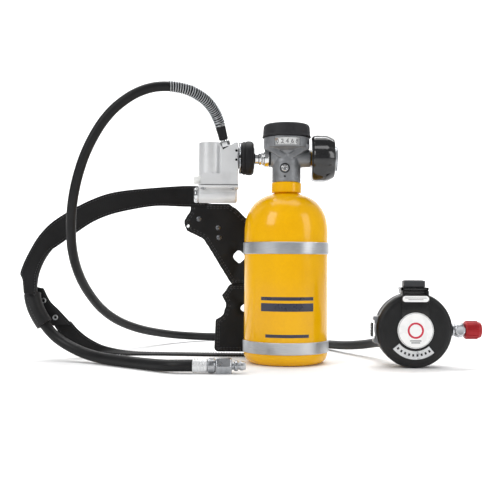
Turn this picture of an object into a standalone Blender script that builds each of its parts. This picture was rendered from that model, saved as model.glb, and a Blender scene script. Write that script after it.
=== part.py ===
"""Hip-worn supplied-air respirator with a small escape cylinder.

World frame, metres: origin at the centre of the cylinder's foot, +X towards the valve's handwheel,
+Y towards the wearer (the hip pad is behind the cylinder), +Z up.
"""

import math

import bmesh
import bpy
from mathutils import Vector

# ---------------------------------------------------------------- clearances
GAP = 0.0003                # between pieces that touch
RUNNING = 0.0003            # radial, between a turning piece and its bore
FLEX_GAP = 0.0006           # between a bent hose and the sleeve around it

# ---------------------------------------------------------------- cylinder and bands
CYL_RADIUS = 0.0500
CYL_SIDE_TOP = 0.1520       # height where the straight side ends
CYL_DOME_RISE = 0.0505
CYL_DOME_POWER = 2.45       # 2 is an ellipse; more is a squarer shoulder
CYL_FOOT_ROUND = 0.0120
CYL_WALL = 0.0060
NECK_RADIUS = 0.0179
NECK_WAIST = 0.0142
NECK_LENGTH = 0.0134
NECK_COLLAR = 0.0128
NECK_BORE = 0.0125
BAND_WIDTH = 0.0137
BAND_THICK = 0.0012
BAND_HEIGHTS = {"lower_band": 0.0208, "upper_band": 0.1362}
CRADLE_HALF_WIDTH = 0.0220
CRADLE_THICK = 0.0030
BOLT_HEAD_RADIUS = 0.0040
BOLT_HEAD_HEIGHT = 0.0020
BOLT_RADIUS = 0.0020

# ---------------------------------------------------------------- hip pad and belt
PAD_THICK = 0.0090
RIVET_RADIUS = 0.0035
RIVET_HEIGHT = 0.0018
RIVET_PLACES = {
    "rivet_outer": (-0.1082, 0.1739),
    "rivet_upper": (-0.0837, 0.1629),
    "rivet_lower": (-0.0824, 0.1503),
}
BELT_THICK = 0.0022
TAB_THICK = 0.0030
EYELET_RADIUS = 0.0035
EYELET_BORE = 0.0017
SLEEVE_WALL = 0.0018
RETAINER_START = 0.2750     # along the airline hose from its inlet
RETAINER_LENGTH = 0.0460
RETAINER_SLACK = 0.0012     # more room than a tight sleeve has

# ---------------------------------------------------------------- cylinder valve
SPIGOT_LENGTH = 0.0120
COLUMN_RADIUS = 0.0171
ARM_RADIUS = 0.0102
ARM_RISE = 0.0288           # arm axis above the valve's flange
ARM_LEFT = 0.0190
ARM_RIGHT = 0.0285
HEAD_RADIUS = 0.0275
HEAD_HEIGHT = 0.0130
HEAD_BORE = 0.0240
CHAMBER_RADIUS = 0.0062
PASSAGE_RADIUS = 0.0030
SEAT_X = 0.0018
SEAT_LENGTH = 0.0087
STEM_RADIUS = 0.0038
TANG_RADIUS = 0.0022
GLAND_RADIUS = 0.0085
GLAND_LENGTH = 0.0057
WHEEL_RADIUS = 0.0285
WHEEL_LENGTH = 0.0278
WHEEL_LOBES = 6
LOBE_DEPTH = 0.07            # of the wheel's radius
HUB_RADIUS = 0.0150
HUB_LENGTH = 0.0036
PLUG_RADIUS = 0.0047
PLUG_DROP = 0.0129          # below the arm axis
PLUG_X = -0.0025
VENT_RADIUS = 0.0012
VENT_DROP = 0.0228
WINDOW_HALF_WIDTH = 0.0155
WINDOW_HEIGHT = 0.0101
LENS_THICK = 0.0018
DRUM_WALL = 0.0010
SPINDLE_RADIUS = 0.0019
CAP_RADIUS = 0.0292
CAP_HEIGHT = 0.0174
CAP_CROWN = 0.0016
ORING_WIDTH = 0.0012
OUTLET_NUT_RADIUS = 0.0107
OUTLET_NUT_LENGTH = 0.0087
DEBRIS_TUBE_RADIUS = 0.0045
DEBRIS_TUBE_LENGTH = 0.0350

# ---------------------------------------------------------------- coupling and reducer
NIPPLE_COLLAR_RADIUS = 0.0095
NIPPLE_COLLAR_LENGTH = 0.0082
NIPPLE_RADIUS = 0.0060
NIPPLE_BORE = 0.0025
COUPLING_RADIUS = 0.0205
COUPLING_LENGTH = 0.0181
BOSS_RADIUS = 0.0125
BOSS_LENGTH = 0.0011
TOWER_RADIUS = 0.0139
BLOCK_WIDTH = 0.0334        # from the tower's axis to the right face
BLOCK_START = 0.0128        # from the tower's axis to the block's left edge
WEB_DEPTH = 0.0090          # half depth of the web between tower and block
STEP_WIDTH = 0.0107         # lower block beyond the tower's axis, left
BLOCK_TOP_RISE = 0.0181     # above the arm axis
BLOCK_BOTTOM_DROP = 0.0329
STEP_TOP_DROP = 0.0196
PISTON_RADIUS = 0.0085
PISTON_THICK = 0.0040
PISTON_RISE = 0.0249        # above the block's bottom
PISTON_BORE_HEIGHT = 0.0390
SPRING_WALL = 0.0012
FLANGE_THICK = 0.0033
FLANGE_DEPTH = 0.0150
BARREL_RADIUS = 0.0091
BARREL_DROP = 0.0448
BARREL_LENGTH = 0.0457
BARREL_CAP_LENGTH = 0.0052
RELIEF_RADIUS = 0.0052
RELIEF_LENGTH = 0.0094

# ---------------------------------------------------------------- hoses
BREATHING_HOSE_DIAMETER = 0.0115
AIRLINE_HOSE_DIAMETER = 0.0130
FITTING_LEAN = Vector((-0.25, -0.18, 0.95)).normalized()
FITTING_FOOT = Vector((0.0184, -0.0010, 0.0124))    # from the tower's axis and the arm axis
FITTING_RADIUS = 0.0048
FITTING_LENGTH = 0.0095
CRIMP_RADIUS = 0.0053
CRIMP_LENGTH = 0.0162
GUARD_WALL = 0.0009
GUARD_LENGTH = 0.0880
INLET_RADIUS = 0.0050
INLET_RISE = 0.0022         # above the barrel's axis
INLET_X = -0.0850
INLET_BEHIND_PAD = 0.0181
INLET_ARM = 0.0185
INLET_CRIMP_RADIUS = 0.0075
FERRULE_RADIUS = 0.00775
FERRULE_LENGTH = 0.0158
COLLAR_RADIUS = 0.0082
COLLAR_LENGTH = 0.0086
HEX_FLATS = 0.0160
HEX_LENGTH = 0.0172
TIP_RADIUS = 0.0052
TIP_LENGTH = 0.0119
TIP_BORE = 0.0025
PLUG_START = Vector((-0.1040, -0.1020, 0.0085))

# ---------------------------------------------------------------- demand regulator
REG_RADIUS = 0.0433
REG_PLACE = Vector((0.1450, -0.0180, REG_RADIUS))   # centre of the back shell's rear face
REG_BODY_DEPTH = 0.0217
REG_COVER_DEPTH = 0.0120
REG_WALL = 0.0025
DIAPHRAGM_THICK = 0.0010
DIAPHRAGM_TRAVEL = 0.0020
SPOUT_RADIUS = 0.0185
SPOUT_WALL = 0.0030
SPOUT_LENGTH = 0.0240
HOSE_BOSS_RADIUS = 0.0070
HOSE_BOSS_LENGTH = 0.0377
HOSE_BOSS_OFFSET = (-0.0265, -0.0211)
SWITCH_HOUSING_WIDTH = 0.0314
SWITCH_HOUSING_DEPTH = 0.0200
SWITCH_HOUSING_RISE = REG_RADIUS + 0.0053           # top above the disc's centre
SWITCH_WIDTH = 0.0247
SWITCH_DEPTH = 0.0130
SWITCH_HEIGHT = 0.0078
SWITCH_TRAVEL = 0.0030
LATCH_HEIGHT = 0.0160
LATCH_WIDTH = 0.0022
LATCH_DEPTH = 0.0100
LATCH_TRAVEL = 0.0015
LATCH_FRAME_HEIGHT = 0.0336
LATCH_FRAME_WIDTH = 0.0040
PURGE_BODY_RADIUS = 0.0100
PURGE_BODY_LENGTH = 0.0145
PURGE_SPIGOT_RADIUS = 0.0030
PURGE_SPIGOT_LENGTH = 0.0070
KNOB_RADIUS = 0.0105
KNOB_LENGTH = 0.0190
BAR_WIDTH = 0.0310

# ---------------------------------------------------------------- places worked out from the sizes
NECK_SHARE = (1 - (NECK_WAIST / CYL_RADIUS) ** CYL_DOME_POWER) ** (1 / CYL_DOME_POWER)
NECK_FOOT = CYL_SIDE_TOP + CYL_DOME_RISE * NECK_SHARE
NECK_TOP = NECK_FOOT + NECK_LENGTH
VALVE_Z = NECK_TOP + GAP
ARM_Z = VALVE_Z + ARM_RISE
HEAD_Z = ARM_Z + max(ARM_RADIUS, OUTLET_NUT_RADIUS) + 2 * GAP
HEAD_TOP = HEAD_Z + HEAD_HEIGHT
HEAD_FLOOR = HEAD_Z + 0.0014
CRADLE_Y = CYL_RADIUS + 2 * GAP + BAND_THICK
PAD_Y = CRADLE_Y + CRADLE_THICK + BOLT_HEAD_HEIGHT + 2 * GAP
INLET_REACH = PAD_Y + INLET_BEHIND_PAD
OUTLET_NUT_X = -(ARM_LEFT + ORING_WIDTH + 2 * GAP)
NIPPLE_X = OUTLET_NUT_X - OUTLET_NUT_LENGTH - GAP
COUPLING_X = NIPPLE_X - NIPPLE_COLLAR_LENGTH - GAP
BLOCK_RIGHT = COUPLING_X - COUPLING_LENGTH - GAP - BOSS_LENGTH
TOWER_X = BLOCK_RIGHT - BLOCK_WIDTH
BLOCK_BOTTOM = ARM_Z - BLOCK_BOTTOM_DROP
BLOCK_TOP = ARM_Z + BLOCK_TOP_RISE
BARREL_Z = ARM_Z - BARREL_DROP
FITTING_BASE = FITTING_FOOT + Vector((TOWER_X, 0, ARM_Z))
PLUG_Z = ARM_Z - PLUG_DROP
INLET_Z = BARREL_Z + INLET_RISE
BREATHING_START = FITTING_BASE + FITTING_LEAN * (FITTING_LENGTH + CRIMP_LENGTH + 2 * GAP)
BREATHING_END = REG_PLACE + Vector((HOSE_BOSS_OFFSET[0], HOSE_BOSS_LENGTH + GAP, HOSE_BOSS_OFFSET[1]))
AIRLINE_START = Vector((INLET_X - INLET_ARM - GAP, INLET_REACH, INLET_Z))
AIRLINE_END = PLUG_START - Vector((GAP, 0, 0))
PAD_X = -NECK_RADIUS

# ---------------------------------------------------------------- routes, chosen by hand
PAD_Y_DRAWN = 0.0574        # the routes and straps below are laid out for a pad at this Y
BREATHING_ROUTE = [
    (-0.0794, -0.0057, 0.2815), (-0.0804, -0.0064, 0.2853), (-0.0840, -0.0115, 0.2945),
    (-0.0895, -0.0190, 0.3025),
    (-0.0970, -0.0270, 0.3095), (-0.1121, -0.0370, 0.3170), (-0.1322, -0.0440, 0.3205),
    (-0.1546, -0.0480, 0.3189), (-0.1755, -0.0500, 0.3110), (-0.1950, -0.0500, 0.2974),
    (-0.2090, -0.0500, 0.2825), (-0.2205, -0.0490, 0.2655), (-0.2315, -0.0470, 0.2440),
    (-0.2400, -0.0440, 0.2210), (-0.2463, -0.0400, 0.1968), (-0.2501, -0.0340, 0.1742),
    (-0.2522, -0.0250, 0.1520), (-0.2530, -0.0120, 0.1310), (-0.2515, 0.0090, 0.1085),
    (-0.2460, 0.0380, 0.0845), (-0.2345, 0.0740, 0.0595), (-0.2180, 0.1120, 0.0405),
    (-0.1950, 0.1550, 0.0262), (-0.1670, 0.2020, 0.0160), (-0.1367, 0.2400, 0.0095),
    (-0.0990, 0.2620, 0.0062), (-0.0550, 0.2680, 0.0060), (-0.0120, 0.2540, 0.0060),
    (0.0230, 0.2240, 0.0060), (0.0480, 0.1850, 0.0062), (0.0660, 0.1440, 0.0075),
    (0.0840, 0.1030, 0.0105), (0.1010, 0.0690, 0.0150), (0.1135, 0.0420, 0.0200),
    (0.1185, 0.0240, 0.0222), (0.1185, 0.0201, 0.0222),
]
AIRLINE_ROUTE = [
    (-0.1038, 0.0755, 0.2015), (-0.1078, 0.0755, 0.2015), (-0.1290, 0.0735, 0.2024),
    (-0.1636, 0.0650, 0.2004), (-0.2010, 0.0580, 0.1956), (-0.2253, 0.0530, 0.1895),
    (-0.2482, 0.0480, 0.1786), (-0.2690, 0.0435, 0.1632), (-0.2866, 0.0395, 0.1465),
    (-0.2995, 0.0340, 0.1290), (-0.3067, 0.0275, 0.1110), (-0.3088, 0.0205, 0.0940),
    (-0.3072, 0.0150, 0.0780), (-0.3025, 0.0118, 0.0630), (-0.2950, 0.0110, 0.0490),
    (-0.2855, 0.0098, 0.0365), (-0.2750, 0.0070, 0.0270), (-0.2630, 0.0025, 0.0200),
    (-0.2507, -0.0035, 0.0148), (-0.2380, -0.0110, 0.0108), (-0.2250, -0.0195, 0.0082),
    (-0.2113, -0.0300, 0.0070), (-0.1960, -0.0435, 0.0067), (-0.1604, -0.0730, 0.0067),
    (-0.1362, -0.0930, 0.0074), (-0.1225, -0.1005, 0.0082), (-0.1083, -0.1020, 0.0085),
    (-0.1043, -0.1020, 0.0085),
]
UPPER_BELT = [      # outer edge, inner edge
    ((-0.1020, 0.0558, 0.2150), (-0.1020, 0.0558, 0.1895)),
    ((-0.1250, 0.0556, 0.2156), (-0.1250, 0.0556, 0.1891)),
    ((-0.1620, 0.0480, 0.2124), (-0.1620, 0.0480, 0.1893)),
    ((-0.1988, 0.0430, 0.2083), (-0.1963, 0.0430, 0.1833)),
    ((-0.2229, 0.0380, 0.2029), (-0.2192, 0.0380, 0.1768)),
    ((-0.2467, 0.0330, 0.1926), (-0.2393, 0.0330, 0.1673)),
    ((-0.2693, 0.0285, 0.1794), (-0.2594, 0.0285, 0.1530)),
    ((-0.2880, 0.0245, 0.1657), (-0.2757, 0.0245, 0.1406)),
    ((-0.3017, 0.0190, 0.1491), (-0.2887, 0.0190, 0.1302)),
    ((-0.3120, 0.0130, 0.1285), (-0.2957, 0.0130, 0.1186)),
    ((-0.3168, 0.0080, 0.1150), (-0.2985, 0.0080, 0.1090)),
    ((-0.3192, 0.0045, 0.1040), (-0.2994, 0.0045, 0.1020)),
    ((-0.3158, 0.0020, 0.0965), (-0.2990, 0.0020, 0.0955)),
    ((-0.3145, 0.0000, 0.0835), (-0.3000, 0.0000, 0.0825)),
]
RETAINER_TAB = [
    ((-0.3075, 0.0280, 0.0880), (-0.2968, 0.0280, 0.0855)),
    ((-0.3045, 0.0280, 0.0720), (-0.2886, 0.0280, 0.0701)),
    ((-0.2975, 0.0280, 0.0585), (-0.2770, 0.0280, 0.0585)),
    ((-0.2868, 0.0280, 0.0428), (-0.2636, 0.0280, 0.0444)),
]
EYELET_PLACES = {"eyelet_upper": (-0.2963, 0.0709), "eyelet_lower": (-0.2816, 0.0503)}
LOWER_BELT = [
    ((-0.2863, 0.0280, 0.0420), (-0.2631, 0.0280, 0.0437)),
    ((-0.2757, 0.0305, 0.0285), (-0.2545, 0.0310, 0.0350)),
    ((-0.2622, 0.0365, 0.0148), (-0.2430, 0.0390, 0.0240)),
    ((-0.2436, 0.0450, 0.0066), (-0.2290, 0.0540, 0.0140)),
    ((-0.2200, 0.0520, 0.0035), (-0.2110, 0.0680, 0.0070)),
    ((-0.1950, 0.0580, 0.0017), (-0.1900, 0.0790, 0.0027)),
    ((-0.1620, 0.0600, 0.0016), (-0.1600, 0.0830, 0.0016)),
    ((-0.1200, 0.0570, 0.0016), (-0.1200, 0.0800, 0.0016)),
    ((-0.0700, 0.0540, 0.0016), (-0.0700, 0.0770, 0.0016)),
    ((0.0200, 0.0540, 0.0016), (0.0200, 0.0770, 0.0016)),
]
PAD_FLAP_OUTLINE = [
    (-0.1235, 0.2125), (-0.1005, 0.2125), (-0.0985, 0.1945), (-0.0700, 0.1945), (-0.0582, 0.1869),
    (-0.0480, 0.1765), (-0.0200, 0.1620), (0.0300, 0.1560), (0.0300, 0.0916), (-0.0671, 0.0916),
    (-0.1030, 0.1476), (-0.1246, 0.1584), (-0.1291, 0.1707), (-0.1200, 0.1852),
]
HOLSTER_OUTLINE = [
    (-0.0671, 0.0913), (0.0300, 0.0913), (0.0300, 0.0120), (0.0200, 0.0045), (-0.0848, 0.0045),
    (-0.0886, 0.0085), (-0.0877, 0.0455), (-0.0777, 0.0532), (-0.0739, 0.0670), (-0.0792, 0.0777),
]
PAD_HOLES = {"pad_flap": (-0.0570, 0.1261, 0.0090), "pad_holster": (-0.0500, 0.0615, 0.0065)}
TAB_HOLE = (-0.1220, 0.1650, 0.0020)

# ---------------------------------------------------------------- finishes: colour, roughness, metallic
FINISHES = {
    "yellow_paint": ((0.80, 0.46, 0.0), 0.25, 0.0),
    "stainless": ((0.62, 0.62, 0.62), 0.3, 1.0),
    "chrome": ((0.8, 0.8, 0.8), 0.12, 1.0),
    "satin_aluminium": ((0.6, 0.6, 0.6), 0.4, 1.0),
    "cast_grey": ((0.2, 0.2, 0.2), 0.5, 0.6),
    "black_rubber": ((0.02, 0.02, 0.02), 0.6, 0.0),
    "grey_rubber": ((0.045, 0.045, 0.045), 0.65, 0.0),
    "gloss_black": ((0.01, 0.01, 0.01), 0.2, 0.0),
    "black_webbing": ((0.015, 0.015, 0.015), 0.8, 0.0),
    "black_fabric": ((0.012, 0.012, 0.012), 0.9, 0.0),
    "black_leather": ((0.018, 0.018, 0.018), 0.6, 0.0),
    "white_plastic": ((0.8, 0.8, 0.8), 0.4, 0.0),
    "grey_plastic": ((0.25, 0.25, 0.25), 0.5, 0.0),
    "clear_plastic": ((0.9, 0.9, 0.9), 0.05, 0.0),
    "red_anodised": ((0.55, 0.01, 0.02), 0.3, 0.8),
    "brass": ((0.6, 0.4, 0.12), 0.3, 1.0),
}

SLEEVE_SIDES = 12
ALONG_X = (0, math.pi / 2, 0)
ALONG_MINUS_X = (0, -math.pi / 2, 0)
ALONG_Y = (-math.pi / 2, 0, 0)
ALONG_MINUS_Y = (math.pi / 2, 0, 0)
UPRIGHT = (0, 0, 0)


# ---------------------------------------------------------------- making objects
def clear_scene():
    for item in list(bpy.data.objects):
        bpy.data.objects.remove(item, do_unlink=True)


def finish_material(name):
    """The material of one finish, made once."""
    material = bpy.data.materials.get(name)
    if material is None:
        colour, roughness, metallic = FINISHES[name]
        material = bpy.data.materials.new(name)
        material.use_nodes = True
        shader = material.node_tree.nodes["Principled BSDF"]
        shader.inputs["Base Color"].default_value = (*colour, 1)
        shader.inputs["Roughness"].default_value = roughness
        shader.inputs["Metallic"].default_value = metallic
    return material


def group(name, place):
    """An empty that its sub-parts hang on."""
    empty = bpy.data.objects.new(name, None)
    empty.location = place
    bpy.context.scene.collection.objects.link(empty)
    return empty


def add_object(name, bm, finish, place, turn, parent):
    """Put a bmesh in the scene. place is in the world; the parent is an unturned empty."""
    bmesh.ops.recalc_face_normals(bm, faces=bm.faces)
    mesh = bpy.data.meshes.new(name)
    bm.to_mesh(mesh)
    bm.free()
    item = bpy.data.objects.new(name, mesh)
    if finish:
        mesh.materials.append(finish_material(finish))
        mesh.shade_smooth()
        mesh.set_sharp_from_angle(angle=math.radians(35))
    else:
        item.hide_render = True
        item.display_type = "WIRE"
    item.rotation_euler = turn
    item.location = Vector(place) - (Vector(parent.location) if parent else Vector())
    item.parent = parent
    bpy.context.scene.collection.objects.link(item)
    return item


def ring_points(radius, height, segments, lobes):
    for step in range(segments):
        angle = 2 * math.pi * (step + 0.5) / segments
        reach = radius
        if lobes and radius > HUB_RADIUS:
            reach = radius * (1 - LOBE_DEPTH * (1 + math.cos(lobes * angle)) / 2)
        yield (reach * math.cos(angle), reach * math.sin(angle), height)


def turned(name, profile, finish, place=(0, 0, 0), turn=UPRIGHT, parent=None, segments=24, lobes=0):
    """Turn a profile of (radius, height) about local Z.

    A profile that starts and ends on the axis is a solid; any other is a ring, closed on itself.
    """
    bm = bmesh.new()
    rings = []
    for radius, height in profile:
        if radius == 0:
            rings.append([bm.verts.new((0, 0, height))])
        else:
            rings.append([bm.verts.new(p) for p in ring_points(radius, height, segments, lobes)])
    pairs = list(zip(rings, rings[1:]))
    if profile[0][0] > 0:
        pairs.append((rings[-1], rings[0]))
    for low, high in pairs:
        for step in range(segments):
            after = (step + 1) % segments
            corners = [low[step % len(low)], low[after % len(low)]]
            corners += [high[after % len(high)], high[step % len(high)]]
            unique = list(dict.fromkeys(corners))
            if len(unique) > 2:
                bm.faces.new(unique)
    return add_object(name, bm, finish, place, turn, parent)


def rod(name, radius, start, end, finish, place, turn, parent, segments=24, bore=0):
    """A plain round bar from start to end along local Z, with a bore if one is given."""
    if bore:
        profile = [(bore, start), (radius, start), (radius, end), (bore, end)]
    else:
        profile = [(0, start), (radius, start), (radius, end), (0, end)]
    return turned(name, profile, finish, place, turn, parent, segments)


def block(name, low, high, finish, parent=None, round_edge=0.0):
    """A box between two world corners, with rounded edges if asked."""
    low, high = Vector(low), Vector(high)
    bm = bmesh.new()
    bmesh.ops.create_cube(bm, size=1)
    bmesh.ops.scale(bm, vec=high - low, verts=bm.verts)
    item = add_object(name, bm, finish, (low + high) / 2, UPRIGHT, parent)
    if round_edge:
        bevel = item.modifiers.new("rounded_edges", "BEVEL")
        bevel.width = round_edge
        bevel.segments = 2
    return item


def plate(name, outline, front, depth, finish, parent=None):
    """A flat outline of (x, z) points, extruded from front towards +Y."""
    bm = bmesh.new()
    face = bm.faces.new([bm.verts.new((x, 0, z)) for x, z in outline])
    grown = bmesh.ops.extrude_face_region(bm, geom=[face])["geom"]
    moved = [item for item in grown if isinstance(item, bmesh.types.BMVert)]
    bmesh.ops.translate(bm, vec=(0, depth, 0), verts=moved)
    return add_object(name, bm, finish, (0, front, 0), UPRIGHT, parent)


def combine(item, other, operation):
    """Join or cut with a live Boolean; the other object becomes a guide."""
    step = item.modifiers.new(other.name, "BOOLEAN")
    step.operation = operation
    step.object = other
    step.solver = "EXACT"
    other.hide_render = True
    other.display_type = "WIRE"


def cut(item, cutter):
    combine(item, cutter, "DIFFERENCE")


def join(item, other):
    combine(item, other, "UNION")


# ---------------------------------------------------------------- curves and straps
def smooth_point(points, index, share):
    """A point on the Catmull-Rom curve between points[index] and the next one."""
    before = points[max(index - 1, 0)]
    start = points[index]
    end = points[index + 1]
    after = points[min(index + 2, len(points) - 1)]
    square, cube = share ** 2, share ** 3
    return 0.5 * (2 * start + (end - before) * share
                  + (2 * before - 5 * start + 4 * end - after) * square
                  + (3 * start - before - 3 * end + after) * cube)


def smooth_curve(route, spacing):
    """Points about one spacing apart on the smooth curve through a route."""
    points = [Vector(p) for p in route]
    fine = [smooth_point(points, i, s / 16) for i in range(len(points) - 1) for s in range(16)]
    fine.append(points[-1])
    travelled = [0.0]
    for one, two in zip(fine, fine[1:]):
        travelled.append(travelled[-1] + (two - one).length)
    count = max(2, round(travelled[-1] / spacing))
    picked = []
    at = 0
    for step in range(count + 1):
        target = travelled[-1] * step / count
        while at < len(fine) - 2 and travelled[at + 1] < target:
            at += 1
        span = travelled[at + 1] - travelled[at]
        share = (target - travelled[at]) / span if span else 0
        picked.append(fine[at].lerp(fine[at + 1], min(share, 1)))
    return picked


def part_of_curve(points, first, last):
    """The points of a curve between two lengths along it."""
    kept = [points[0]] if first == 0 else []
    travelled = 0.0
    for one, two in zip(points, points[1:]):
        travelled += (two - one).length
        if first < travelled < last:
            kept.append(two)
    return kept


def cord_line(route, diameter):
    """The smooth curve of a hose, with its straight lead at each end kept exactly."""
    return [Vector(route[0])] + smooth_curve(route[1:-1], 2 * diameter) + [Vector(route[-1])]


def cord(name, route, diameter, finish, parent=None):
    """A plain round hose on the smooth curve through its route."""
    curve = bpy.data.curves.new(name, "CURVE")
    curve.dimensions = "3D"
    curve.bevel_depth = diameter / 2
    curve.bevel_resolution = 2
    curve.use_fill_caps = True
    points = cord_line(route, diameter)
    spline = curve.splines.new("POLY")
    spline.points.add(len(points) - 1)
    for slot, point in zip(spline.points, points):
        slot.co = (*point, 1)
    curve.materials.append(finish_material(finish))
    item = bpy.data.objects.new(name, curve)
    item.parent = parent
    item.location = -Vector(parent.location) if parent else Vector()
    bpy.context.scene.collection.objects.link(item)
    return item


def sleeve_bore(diameter):
    """The inner radius at which a sleeve's flat sides still clear the hose inside it."""
    return diameter / 2 / math.cos(math.pi / SLEEVE_SIDES) + FLEX_GAP


def sleeve(name, points, inner, outer, finish, parent=None, sides=SLEEVE_SIDES):
    """A tube with a wall, open at both ends, along a list of points."""
    bm = bmesh.new()
    frames = []
    side = None
    for index, point in enumerate(points):
        ahead = points[min(index + 1, len(points) - 1)]
        behind = points[max(index - 1, 0)]
        along = (ahead - behind).normalized()
        if side is None:
            side = along.orthogonal().normalized()
        side = (side - along * side.dot(along)).normalized()
        frames.append((point, side, along.cross(side)))
    loops = []
    for radius, order in ((outer, frames), (inner, list(reversed(frames)))):
        for centre, across, up in order:
            angles = [2 * math.pi * step / sides for step in range(sides)]
            loops.append([bm.verts.new(centre + radius * (math.cos(a) * across + math.sin(a) * up))
                          for a in angles])
    for low, high in zip(loops, loops[1:] + loops[:1]):
        for step in range(sides):
            after = (step + 1) % sides
            bm.faces.new((low[step], low[after], high[after], high[step]))
    return add_object(name, bm, finish, (0, 0, 0), UPRIGHT, parent)


def strap(name, edges, thickness, finish, parent=None, steps=2):
    """A flat strap between two edge curves."""
    outer = [Vector(pair[0]) for pair in edges]
    inner = [Vector(pair[1]) for pair in edges]
    shares = [(i, s / steps) for i in range(len(edges) - 1) for s in range(steps)]
    outer_line = [smooth_point(outer, i, s) for i, s in shares] + [outer[-1]]
    inner_line = [smooth_point(inner, i, s) for i, s in shares] + [inner[-1]]
    middles = [(a + b) / 2 for a, b in zip(outer_line, inner_line)]
    bm = bmesh.new()
    rings = []
    for index, (one, two) in enumerate(zip(outer_line, inner_line)):
        ahead = middles[min(index + 1, len(middles) - 1)]
        behind = middles[max(index - 1, 0)]
        lift = (ahead - behind).cross(two - one).normalized() * thickness / 2
        rings.append([bm.verts.new(p) for p in (one + lift, two + lift, two - lift, one - lift)])
    for low, high in zip(rings, rings[1:]):
        for step in range(4):
            after = (step + 1) % 4
            bm.faces.new((low[step], low[after], high[after], high[step]))
    bm.faces.new(rings[0])
    bm.faces.new(reversed(rings[-1]))
    return add_object(name, bm, finish, (0, 0, 0), UPRIGHT, parent)


# ---------------------------------------------------------------- cylinder group
def dome_points(radius, rise, last_radius, steps):
    """Points of a domed shoulder, from the straight side to its last radius."""
    power = 2 / CYL_DOME_POWER
    end_angle = math.acos((last_radius / radius) ** (1 / power))
    for step in range(steps + 1):
        angle = end_angle * step / steps
        yield (radius * math.cos(angle) ** power, CYL_SIDE_TOP + rise * math.sin(angle) ** power)


def make_air_cylinder(parent):
    """A one-piece shell with a rounded foot, a domed shoulder and a bored neck."""
    foot_steps = 4
    dome_steps = 9
    outer = [(0, 0)]
    for step in range(foot_steps + 1):
        angle = math.pi / 2 * step / foot_steps
        outer.append((CYL_RADIUS - CYL_FOOT_ROUND * (1 - math.sin(angle)),
                      CYL_FOOT_ROUND * (1 - math.cos(angle))))
    outer += dome_points(CYL_RADIUS, CYL_DOME_RISE, NECK_WAIST, dome_steps)
    collar_foot = NECK_TOP - NECK_COLLAR
    outer += [(NECK_WAIST, collar_foot), (NECK_RADIUS, collar_foot + 0.0005), (NECK_RADIUS, NECK_TOP)]
    inner_radius = CYL_RADIUS - CYL_WALL
    inner_rise = CYL_DOME_RISE - CYL_WALL
    inner = [(NECK_BORE, NECK_TOP)]
    inner += reversed(list(dome_points(inner_radius, inner_rise, NECK_BORE, 5)))
    inner += [(inner_radius, CYL_FOOT_ROUND), (inner_radius - CYL_WALL, CYL_WALL), (0, CYL_WALL)]
    turned("air_cylinder", outer + inner, "yellow_paint", parent=parent, segments=36)


def make_bands(parent):
    for name, height in BAND_HEIGHTS.items():
        rod(name, CYL_RADIUS + GAP + BAND_THICK, height - BAND_WIDTH / 2, height + BAND_WIDTH / 2,
            "stainless", (0, 0, 0), UPRIGHT, parent, segments=36, bore=CYL_RADIUS + GAP)


def make_cradle(parent):
    """The plate behind the cylinder that both bands are bolted to."""
    lower, upper = BAND_HEIGHTS["lower_band"], BAND_HEIGHTS["upper_band"]
    low = (-CRADLE_HALF_WIDTH, CRADLE_Y, lower - BAND_WIDTH)
    high = (CRADLE_HALF_WIDTH, CRADLE_Y + CRADLE_THICK, upper + BAND_WIDTH)
    cradle = block("cradle_plate", low, high, "cast_grey", parent)
    head = CRADLE_THICK + GAP
    for band, height in BAND_HEIGHTS.items():
        place = (0, CRADLE_Y, height)
        hole = rod(band + "_hole", BOLT_RADIUS + GAP, -0.001, CRADLE_THICK + 0.001, None,
                   place, ALONG_Y, parent, segments=12)
        cut(cradle, hole)
        profile = [(0, GAP), (BOLT_RADIUS, GAP), (BOLT_RADIUS, head), (BOLT_HEAD_RADIUS, head),
                   (BOLT_HEAD_RADIUS * 0.8, head + BOLT_HEAD_HEIGHT), (0, head + BOLT_HEAD_HEIGHT)]
        turned(band + "_bolt", profile, "stainless", place, ALONG_Y, parent, segments=12)


# ---------------------------------------------------------------- hip pad and belt
def diamond_cutter(name, centre_x, centre_z, reach, parent):
    outline = [(centre_x - reach, centre_z), (centre_x, centre_z - reach),
               (centre_x + reach, centre_z), (centre_x, centre_z + reach)]
    return plate(name, outline, PAD_Y - PAD_THICK, 3 * PAD_THICK, None, parent)


def make_pad(parent):
    """The padded flap that carries the reducer's side and the holster panel below it."""
    flap = plate("pad_flap", PAD_FLAP_OUTLINE, PAD_Y, PAD_THICK, "black_fabric", parent)
    holster = plate("pad_holster", HOLSTER_OUTLINE, PAD_Y, PAD_THICK, "black_fabric", parent)
    for panel in (flap, holster):
        x, z, reach = PAD_HOLES[panel.name]
        cut(panel, diamond_cutter(panel.name + "_gap", x, z, reach, parent))
    x, z, radius = TAB_HOLE
    cut(flap, rod("tab_hole", radius, -PAD_THICK, 2 * PAD_THICK, None, (x, PAD_Y, z), ALONG_Y,
                  parent, segments=12))
    profile = [(0, GAP), (RIVET_RADIUS, GAP), (RIVET_RADIUS * 0.9, GAP + RIVET_HEIGHT * 0.6),
               (RIVET_RADIUS * 0.5, GAP + RIVET_HEIGHT), (0, GAP + RIVET_HEIGHT)]
    for name, (x, z) in RIVET_PLACES.items():
        turned(name, profile, "black_rubber", (x, PAD_Y, z), ALONG_MINUS_Y, parent, segments=16)


def moved_with_pad(point):
    """A hand-laid point, nearer to or farther from the front as the pad is."""
    x, y, z = point
    return (x, y * PAD_Y / PAD_Y_DRAWN if y > 0 else y, z)


def follow_pad(edges):
    """The edge points of a hand-laid strap, moved with the pad."""
    return [(moved_with_pad(one), moved_with_pad(two)) for one, two in edges]


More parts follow.
